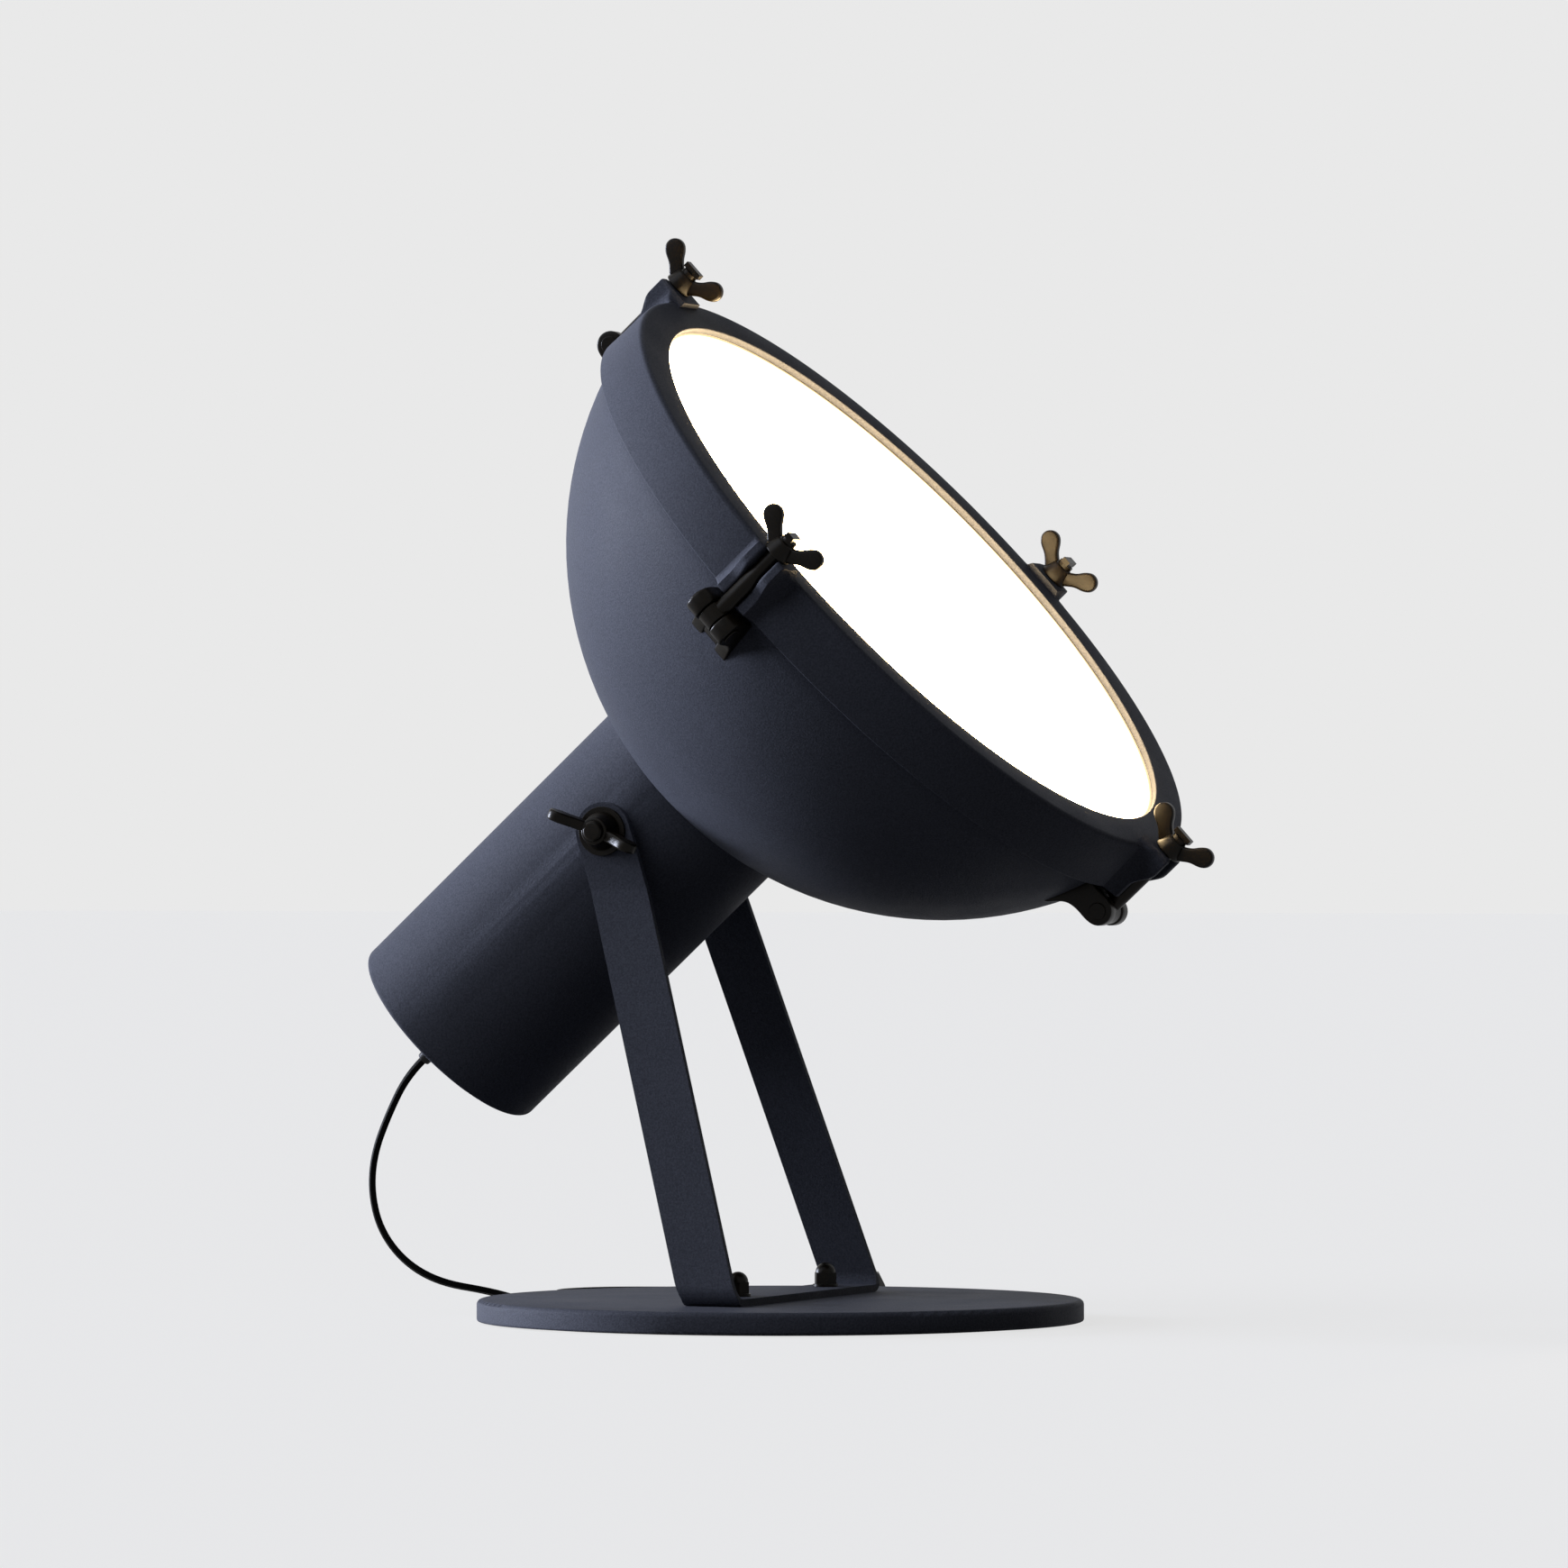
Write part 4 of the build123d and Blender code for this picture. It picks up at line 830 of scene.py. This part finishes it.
class SEARCHLIGHT_OT_front_ring(bpy.types.Operator):
    """Cast front ring with its four forked ears"""

    bl_idname = "searchlight.front_ring"
    bl_label = "Front ring"

    def execute(self, context):
        rear, _, aperture, _ = head_extent("front_ring")
        outside = RING_OUT * MM
        front = rear + RING_LENGTH * MM
        corner, edge = RING_CORNER * MM, RING_EDGE * MM
        drafted = outside - RING_DRAFT * MM
        lip, glass_along = RING_LIP * MM, rear + RING_GLASS_ALONG * MM
        wall = outside - RING_WALL * MM
        glass_step, rear_step = outside - RING_GLASS_STEP * MM, outside - RING_REAR_STEP * MM
        band = [
            *arc((outside - edge, rear + edge), edge, -90, 0, 3),
            *arc((drafted - corner, front - corner), corner, 0, 90, 6),
            *arc((aperture + edge, front - edge), edge, 90, 180, 3),
            (aperture, front - lip),
            (glass_step, front - lip),
            (glass_step, glass_along),
            (wall, glass_along),
            (wall, rear + lip),
            (rear_step, rear + lip),
            (rear_step, rear),
        ]
        shapes = [turned(band, head_place, steps=288)]
        shapes += [ring_ear(angle, rear) for angle in CLAMPS.values()]
        piece = joined("front_ring_finished", shapes)
        seat(piece, "head", once(powder_coat), "front_ring")
        return {"FINISHED"}


class SEARCHLIGHT_OT_glass(bpy.types.Operator):
    """Frosted front glass, lit from behind"""

    bl_idname = "searchlight.glass"
    bl_label = "Glass"

    def execute(self, context):
        dressed("front_glass", "head", once(frosted_glass), sizes().soft_edge)
        return {"FINISHED"}


# Wing nuts, in millimetres. A hub is its radius at the seat and at the top, its height and its bore
# radius.
# A wing is a circle at its root, waist and tip, each (distance from the bolt, height, radius), and
# its thickness.
CLAMP_HUB = (7.2, 5.5, 7.9, 4.05)
CLAMP_WING = ((5.5, 4.4, 3.7), (9.8, 7.7, 3.1), (14.9, 11.8, 4.7), 4.5)
PIVOT_HUB = (9.4, 7.0, 9.6, 5.05)
PIVOT_WING = ((7.5, 5.2, 4.4), (13.0, 8.0, 3.6), (19.3, 11.2, 4.9), 5.3)
PIVOT_WING_TURN = 22  # Degrees that the pivot nuts' wings lean down to the front.
HUB_FOOT_EDGE = 0.5
HUB_TOP_EDGE = 1.5
WING_EDGE = 1.2
# The outline's points stand further out than the curve that they pull.
TIP_PULL = 1.14
WAIST_PULL = 1.1


def wing_nut(node, body, place, wing_way, hub, wing):
    """A wing nut that stands along a place's Z."""
    hub_r, top_r, hub_h, bore_r = hub
    root, waist, tip, thickness = wing
    collar = [
        (bore_r, 0),
        *arc((hub_r - HUB_FOOT_EDGE, HUB_FOOT_EDGE), HUB_FOOT_EDGE, -90, 0, 3),
        *arc((top_r - HUB_TOP_EDGE, hub_h - HUB_TOP_EDGE), HUB_TOP_EDGE, 10, 90, 6),
        (bore_r, hub_h),
    ]
    shapes = [turned([(out * MM, along * MM) for out, along in collar], place, steps=64)]
    root_at, waist_at, tip_at = (Vector(circle[:2]) for circle in (root, waist, tip))
    rise = (tip_at - root_at).normalized()
    square = Vector((-rise.y, rise.x))
    # One side of the outline: a ball at the tip, a waist, and a root that runs into the hub.
    side = []
    for turn in (22.5, 67.5, 112.5):
        way = rise * math.cos(math.radians(turn)) + square * math.sin(math.radians(turn))
        side.append(tip_at + tip[2] * TIP_PULL * way)
    side.append(waist_at + square * waist[2] * WAIST_PULL)
    side.append(root_at + square * root[2])
    side.append(root_at + square * root[2] - rise * root[2])
    other = [point - 2 * square * (point - root_at).dot(square) for point in reversed(side)]
    outline = [(point.x * MM, point.y * MM) for point in side + other]
    origin = place.to_translation()
    stand = (place.to_3x3() @ Vector((0, 0, 1))).normalized()
    for way in (wing_way, -wing_way):
        on_side = facing(origin, way, stand)
        shapes.append(plate(outline, thickness * MM, WING_EDGE * MM, on_side))
    piece = joined(f"{node}_finished", shapes)
    seat(piece, body, once(blacked_steel), node)


# Outlines of a clamp lug, as (along, out) from its pin in millimetres. They run into the bowl.
LUG_HEAD_R = 7.57
LUG_HEAD = [
    (LUG_HEAD_R * math.cos(math.radians(turn)), LUG_HEAD_R * math.sin(math.radians(turn)))
    for turn in range(0, 181, 45)
]
LUG_CHEEK = [
    *LUG_HEAD,
    (-7.3, -8.5), (-9, -15), (-15, -20), (-18, -23), (-14, -23), (0, -17), (7.8, -15), (7.6, -8),
]
LUG_FOOT = [
    (6.8, -15), (6.8, -7.2), (3, -7.1), (-3, -7.1), (-6.6, -7.2),
    (-9, -15), (-15, -20.4), (-14, -23), (0, -17),
]
# Each plate of a lug: its outline, then its middle across the head, its thickness and its rounding.
LUG_PLATES = (
    (LUG_CHEEK, -8.6, 8, 1.1),
    (LUG_CHEEK, 8.6, 8, 1.1),
    (LUG_FOOT, 0, 9.6, 0.3),
)


def clamp_lug(name, angle):
    """A clevis bracket on the bowl: two round-headed cheeks on a foot that follows the bowl."""
    radial = head_radial(angle)
    pin = pivot + head_axis * CLAMP_PIN_ALONG * MM + radial * CLAMP_OUT * MM
    across = head_axis.cross(radial)
    shapes = []
    for outline, middle, thickness, edge in LUG_PLATES:
        place = facing(pin + across * middle * MM, head_axis, radial)
        points = [(x * MM, y * MM) for x, y in outline]
        shapes.append(plate(points, thickness * MM, edge * MM, place))
    piece = joined(f"clamp_lug_{name}_finished", shapes)
    seat(piece, "head", once(blacked_steel), f"clamp_lug_{name}")


class SEARCHLIGHT_OT_clamps(bpy.types.Operator):
    """Four swing-bolt clamps: lug, pin, eye bolt and wing nut"""

    bl_idname = "searchlight.clamps"
    bl_label = "Clamps"

    def execute(self, context):
        edge = sizes().soft_edge
        for name, angle in CLAMPS.items():
            clamp_lug(name, angle)
            dressed(f"lug_pin_{name}", "head", once(blacked_steel), edge * 0.9)
            bolt = f"swing_bolt_{name}"
            dressed(bolt, f"bolt_{name}", once(blacked_steel), edge / 2)
            out = head_radial(angle)
            across = head_axis.cross(out)
            nut_seat, _, _, _ = head_extent(f"clamp_nut_{name}")
            place = facing(pivot + head_axis * nut_seat + out * CLAMP_OUT * MM, out, across)
            wing_way = out if name in ("top", "bottom") else across
            wing_nut(f"clamp_nut_{name}", f"nut_{name}", place, wing_way, CLAMP_HUB, CLAMP_WING)
        return {"FINISHED"}


class SEARCHLIGHT_OT_pivots(bpy.types.Operator):
    """Studs, washers and wing nuts on which the head tilts"""

    bl_idname = "searchlight.pivots"
    bl_label = "Pivots"

    def execute(self, context):
        edge = sizes().soft_edge
        dressed("pivot_studs", "head", once(blacked_steel), edge / 2)
        dressed("fibre_washers", "head", once(vulcan_fibre), edge / 4)
        dressed("pivot_washers", "root", once(blacked_steel), edge / 2)
        turn = math.radians(PIVOT_WING_TURN)
        wing_way = Vector((math.cos(turn), 0, -math.sin(turn)))
        for side, way in (("near", -1), ("far", 1)):
            low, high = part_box(f"pivot_nut_{side}")
            stand = Vector((0, way, 0))
            nut_seat = Vector((pivot.x, high.y if way < 0 else low.y, pivot.z))
            place = facing(nut_seat, wing_way, stand.cross(wing_way))
            nut = f"pivot_nut_{side}"
            wing_nut(nut, nut, place, wing_way, PIVOT_HUB, PIVOT_WING)
        return {"FINISHED"}


class SEARCHLIGHT_OT_lamp(bpy.types.Operator):
    """Inside of the head: bracket, lampholder, bulb, reflector and gasket"""

    bl_idname = "searchlight.lamp"
    bl_label = "Lamp"

    def execute(self, context):
        finishes = {
            "gland_nut": moulded_plastic,
            "holder_bracket": zinc_steel,
            "lampholder": glazed_porcelain,
            "bulb": opal_glass,
            "terminal_block": white_plastic,
            "bowl_ring_nut": zinc_steel,
            "reflector": spun_aluminium,
            "ring_gasket": gasket_rubber,
        }
        for node, finish in finishes.items():
            mesh = frame["nodes"][node].data
            mesh.materials.clear()
            mesh.materials.append(once(finish))
        return {"FINISHED"}


# ---- Flex ----

# Level directions on the table: to the usual viewer's right, and straight away from that viewer.
ACROSS = Vector((0.929, 0.370, 0))
BEHIND = Vector((-0.370, 0.929, 0))
COIL_CENTRE = (-80.0, 176.0)  # Across and behind, in millimetres.
COIL_STEPS = 14  # Points in one turn of the coil.


def laid(across, behind, height):
    """A point of the flex on the table, from places in millimetres."""
    return (ACROSS * across + BEHIND * behind + Vector((0, 0, height))) * MM


def coil_route(entry_turn, turns, layers, middle_r, pitch, rise, lift):
    """The coil as points of the flex's own line: inwards on the table, then outwards on top."""
    points = []
    for layer in range(layers):
        for step in range(turns * COIL_STEPS):
            share = step / (turns * COIL_STEPS)
            spread = (turns - 1) * pitch * (0.5 - share)
            radius = middle_r + (spread if layer == 0 else -spread)
            turn = entry_turn - 2 * math.pi * (layer * turns + step / COIL_STEPS)
            points.append(
                laid(
                    COIL_CENTRE[0] + radius * math.cos(turn),
                    COIL_CENTRE[1] + radius * math.sin(turn),
                    lift + layer * rise,
                )
            )
    return points


def flex_section():
    """Section of the flex as a curve object: two round cores side by side under one sheath."""
    curve = bpy.data.curves.new("flex_section", "CURVE")
    curve.dimensions = "2D"
    curve.resolution_u = 5
    half_w = sizes().flex_width / 2
    half_h = sizes().flex_height / 2
    upper = [(1, 0), (1, 1), (0.45, 1.12), (0, 0.62), (-0.45, 1.12), (-1, 1)]
    outline = upper + [(-x, -y) for x, y in upper]
    spline = curve.splines.new("NURBS")
    spline.points.add(len(outline) - 1)
    for point, (x, y) in zip(spline.points, outline):
        point.co = (x * half_w, y * half_h, 0.0, 1.0)
    spline.order_u = 3
    spline.use_cyclic_u = True
    section = bpy.data.objects.new("flex_section", curve)
    bpy.context.scene.collection.objects.link(section)
    return section


def swept(route, section, twist_mode, tilt=0.0):
    """A bmesh of a section swept along a route, and the route's own line as a list of points.

    Without a section, the bmesh is empty.
    """
    curve = bpy.data.curves.new("route", "CURVE")
    curve.dimensions = "3D"
    curve.resolution_u = 6
    curve.twist_mode = twist_mode
    spline = curve.splines.new("NURBS")
    spline.points.add(len(route) - 1)
    for point, place in zip(spline.points, route):
        point.co = (*place, 1.0)
        point.tilt = tilt
    spline.order_u = 3
    spline.use_endpoint_u = True
    line = bpy.data.objects.new("route", curve)
    bpy.context.scene.collection.objects.link(line)
    bpy.context.view_layer.update()
    graph = bpy.context.evaluated_depsgraph_get()
    traced = bpy.data.meshes.new_from_object(line.evaluated_get(graph))
    path = [vertex.co.copy() for vertex in traced.vertices]
    shape = bmesh.new()
    if section:
        curve.bevel_mode = "OBJECT"
        curve.bevel_object = section
        curve.use_fill_caps = True
        bpy.context.view_layer.update()
        graph = bpy.context.evaluated_depsgraph_get()
        shape.from_mesh(bpy.data.meshes.new_from_object(line.evaluated_get(graph)))
        bmesh.ops.remove_doubles(shape, verts=shape.verts, dist=WELD)
        bmesh.ops.recalc_face_normals(shape, faces=shape.faces)
    bpy.data.objects.remove(line)
    return shape, path


def flat_tilt(route, section):
    """Turn of the section, in radians, with which the end of a route lies flat."""

    def rise(tilt):
        shape, path = swept(route, section, "MINIMUM", tilt)
        near = (v for v in shape.verts if (v.co - path[-1]).length < sizes().flex_width)
        heights = [vertex.co.z for vertex in near]
        shape.free()
        return max(heights) - min(heights)

    return min((math.radians(turn) for turn in range(0, 180, 6)), key=rise)


class SEARCHLIGHT_OT_flex(bpy.types.Operator):
    """Flat twin flex from the gland to the coil, the switch and the plug"""

    bl_idname = "searchlight.flex"
    bl_label = "Flex"

    def execute(self, context):
        gland_rear, _, _, _ = head_extent("cord_gland")
        gland_exit = pivot + head_axis * gland_rear
        drop = [
            gland_exit,
            Vector((-200.5, 0, 119.2)) * MM,
            Vector((-211.0, 0, 99.0)) * MM,
            Vector((-218.5, 0, 80.0)) * MM,
            Vector((-220.0, 0, 61.0)) * MM,
            Vector((-215.0, 0, 42.0)) * MM,
            Vector((-203.0, 3, 26.0)) * MM,
            Vector((-186.0, 8, 16.0)) * MM,
            Vector((-166.0, 24, 11.5)) * MM,
            laid(-134.0, 104.0, 7.0),
            laid(-122.0, 124.0, 3.5),
            laid(-115.5, 145.0, 2.3),
            laid(-115.1, 166.0, 1.7),
        ]
        coil = coil_route(
            entry_turn=math.pi, turns=3, layers=2, middle_r=29.7, pitch=5.4, rise=3.1, lift=1.7
        )
        tail = [
            laid(-115.1, 180.0, 4.8),
            laid(-114.6, 205.0, 3.4),
            laid(-113.6, 235.0, 1.7),
            laid(-114.4, 267.0, 1.7),
            laid(-114.2, 298.4, 1.7),
            laid(-92.3, 320.2, 1.7),
            laid(-61.7, 320.2, 1.7),
            laid(-39.9, 298.4, 2.6),
            laid(-40.0, 271.4, 5.5),
        ]
        lead = [
            laid(-40.0, 212.6, 5.5),
            laid(-40.0, 182.4, 2.6),
            laid(-17.6, 160.0, 1.7),
            laid(14.1, 160.0, 1.7),
            laid(36.5, 182.4, 3.0),
            laid(36.5, 204.6, 6.85),
        ]
        route = drop + coil + tail + lead
        _, path = swept(route, None, "Z_UP")
        # The hanging stretch and the lying one are swept apart, and lap where they meet.
        section = flex_section()
        meeting = (route[8] + route[9]) / 2
        lap = (route[9] - route[8]).normalized() * 2 * MM
        hanging = route[:9] + [meeting + lap]
        hung, _ = swept(hanging, section, "MINIMUM", flat_tilt(hanging, section))
        lying, _ = swept([meeting, *route[9:]], section, "Z_UP")
        bpy.data.objects.remove(section)
        flex = joined("flex", [hung, lying], sharp=60.0)
        flex.data.materials.append(once(sheath))
        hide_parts("cord_drop", "cord_coil", "cord_tail", "cord_lead")
        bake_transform(flex)
        return {"FINISHED"}


class SEARCHLIGHT_OT_switch(bpy.types.Operator):
    """In-line rocker switch"""

    bl_idname = "searchlight.switch"
    bl_label = "Switch"

    def execute(self, context):
        edge = sizes().soft_edge
        dressed("switch_base", "root", once(moulded_plastic), edge)
        dressed("switch_cover", "root", once(moulded_plastic), edge)
        dressed("switch_screws", "root", once(zinc_steel), edge / 3)
        dressed("switch_rocker", "rocker", once(moulded_plastic), edge)
        return {"FINISHED"}


class SEARCHLIGHT_OT_plug(bpy.types.Operator):
    """Flat two-pin plug"""

    bl_idname = "searchlight.plug"
    bl_label = "Plug"

    def execute(self, context):
        edge = sizes().soft_edge
        dressed("plug_body", "root", once(moulded_plastic), edge * 2)
        dressed("plug_pins", "root", once(nickel), edge)
        return {"FINISHED"}


# ---- Stage ----

VIEW_BACK = Vector((0.37005, -0.92896, -0.0089))  # From the lamp to the usual viewer.
CAMERA_PLACE = Vector((1.7200, -4.3130, 0.2228))
CAMERA_LENS = 217.1
# Ways to the lamps: their shares of the usual view's right, up and back.
KEY_WAY = (-0.92, 0.1, -0.38)
FILL_WAY = (-0.69, 0.64, 0.34)
# A white lamp of strength pi shows a colour as it is written, on a face turned to it.
KEY_STRENGTH = 9.0
FILL_STRENGTH = 1.5
KEY_WIDTH = 24.0  # Degrees.
FILL_WIDTH = 57.0
AMBIENT = 0.03
FLOOR_ALBEDO = 0.14
FLOOR_HALF = 40.0


def floor_share(height, angle, rays=600):
    """Share of a round distant lamp's strength that falls on a level floor.

    height is the upward part of the way to the lamp's centre, angle its width in radians.
    """
    narrow = math.cos(angle / 2)
    total = 0.0
    for ray in range(rays):
        across = 1 - (1 - narrow) * (ray + 0.5) / rays
        turn = ray * math.pi * (3 - math.sqrt(5))
        tipped = math.sqrt((1 - across**2) * (1 - height**2)) * math.cos(turn)
        total += max(0.0, across * height + tipped)
    return total / rays * 2 / (1 + narrow)


def view_way(right, up, back):
    """A direction from its shares of the usual view's right, up and back."""
    return ACROSS * right + Vector((0, 0, 1)) * up + VIEW_BACK * back


def sun(name, to_light, strength, angle, colour):
    """A distant lamp, seen in the way to_light and angle degrees wide.

    Returns how bright it makes a white floor.
    """
    data = bpy.data.lights.new(name, "SUN")
    data.energy = strength
    data.angle = math.radians(angle)
    data.color = linear(colour)[:3]
    lamp = bpy.data.objects.new(name, data)
    lamp.rotation_euler = to_light.to_track_quat("Z", "Y").to_euler()
    bpy.context.scene.collection.objects.link(lamp)
    return strength * floor_share(to_light.normalized().z, data.angle) / math.pi


def shown_background(tree):
    """1 for the rays that show the background: camera, glossy and transmission ones. Else 0."""
    rays = add_node(tree, "ShaderNodeLightPath")
    seen = add_node(
        tree,
        "ShaderNodeMath",
        {0: rays.outputs["Is Camera Ray"], 1: rays.outputs["Is Glossy Ray"]},
        operation="MAXIMUM",
    )
    shown = add_node(
        tree,
        "ShaderNodeMath",
        {0: seen.outputs[0], 1: rays.outputs["Is Transmission Ray"]},
        operation="MAXIMUM",
    )
    return shown.outputs[0]


class SEARCHLIGHT_OT_stage(bpy.types.Operator):
    """Pale floor and background, soft lamps and the camera"""

    bl_idname = "searchlight.stage"
    bl_label = "Stage"

    def execute(self, context):
        scene = context.scene
        on_floor = sun("key_lamp", view_way(*KEY_WAY), KEY_STRENGTH, KEY_WIDTH, "#E4EBFF")
        on_floor += sun("fill_lamp", view_way(*FILL_WAY), FILL_STRENGTH, FILL_WIDTH, "#EBF0FF")
        on_floor += AMBIENT
        background = opaque(colours().background)

        world = bpy.data.worlds.new("Pale studio")
        scene.world = world
        world.use_nodes = True
        tree = world.node_tree
        tree.nodes.clear()
        level = add_node(
            tree,
            "ShaderNodeMapRange",
            {
                "Value": shown_background(tree),
                "To Min": AMBIENT / colours().background[0],
                "To Max": 1.0,
            },
        )
        sky = add_node(
            tree,
            "ShaderNodeBackground",
            {"Color": background, "Strength": level.outputs["Result"]},
        )
        add_node(tree, "ShaderNodeOutputWorld", {"Surface": sky.outputs["Background"]})

        material, tree, output = new_material("Pale paper floor")
        paper = add_node(tree, "ShaderNodeBsdfDiffuse", {"Color": opaque([FLOOR_ALBEDO] * 3)})
        # What the lamps leave short of the background's tone is added for the eye alone.
        missing = colours().background[0] - FLOOR_ALBEDO * on_floor
        glow = add_node(
            tree, "ShaderNodeMath", {0: shown_background(tree), 1: missing}, operation="MULTIPLY"
        )
        light = add_node(tree, "ShaderNodeEmission", {"Strength": glow.outputs[0]})
        both = add_node(
            tree,
            "ShaderNodeAddShader",
            {0: paper.outputs["BSDF"], 1: light.outputs["Emission"]},
        )
        tree.links.new(both.outputs["Shader"], output.inputs["Surface"])

        shape = bmesh.new()
        bmesh.ops.create_grid(shape, x_segments=1, y_segments=1, size=FLOOR_HALF)
        floor = finish_mesh(shape, "floor")
        floor.data.materials.append(material)

        data = bpy.data.cameras.new("camera")
        data.lens = CAMERA_LENS
        data.sensor_width = 36.0
        data.clip_end = 200.0
        camera = bpy.data.objects.new("camera", data)
        camera.location = CAMERA_PLACE
        camera.rotation_euler = VIEW_BACK.to_track_quat("Z", "Y").to_euler()
        scene.collection.objects.link(camera)
        scene.camera = camera
        scene.view_settings.view_transform = "Standard"
        return {"FINISHED"}


class SEARCHLIGHT_PT_panel(bpy.types.Panel):
    """Lists the pieces of the searchlight lamp"""

    bl_idname = "SEARCHLIGHT_PT_panel"
    bl_label = "Searchlight Lamp"
    bl_space_type = "VIEW_3D"
    bl_region_type = "UI"
    bl_category = "Searchlight"

    def draw(self, context):
        for group in (context.scene.searchlight_sizes, context.scene.searchlight_colours):
            for name in group.bl_rna.properties.keys():
                if name not in ("rna_type", "name"):
                    self.layout.prop(group, name)
        for operator in OPERATORS:
            self.layout.operator(operator.bl_idname)


OPERATORS = (
    SEARCHLIGHT_OT_stage,
    SEARCHLIGHT_OT_base,
    SEARCHLIGHT_OT_yoke,
    SEARCHLIGHT_OT_housing,
    SEARCHLIGHT_OT_bowl,
    SEARCHLIGHT_OT_front_ring,
    SEARCHLIGHT_OT_glass,
    SEARCHLIGHT_OT_clamps,
    SEARCHLIGHT_OT_pivots,
    SEARCHLIGHT_OT_lamp,
    SEARCHLIGHT_OT_switch,
    SEARCHLIGHT_OT_plug,
    SEARCHLIGHT_OT_flex,
)
CLASSES = (SearchlightSizes, SearchlightColours, *OPERATORS, SEARCHLIGHT_PT_panel)


def register():
    for item in CLASSES:
        bpy.utils.register_class(item)
    bpy.types.Scene.searchlight_sizes = bpy.props.PointerProperty(type=SearchlightSizes)
    bpy.types.Scene.searchlight_colours = bpy.props.PointerProperty(type=SearchlightColours)


def unregister():
    del bpy.types.Scene.searchlight_colours
    del bpy.types.Scene.searchlight_sizes
    for item in reversed(CLASSES):
        bpy.utils.unregister_class(item)


def main():
    register()
    for operator in OPERATORS:
        area, name = operator.bl_idname.split(".")
        getattr(getattr(bpy.ops, area), name)()


if __name__ == "__main__":
    main()
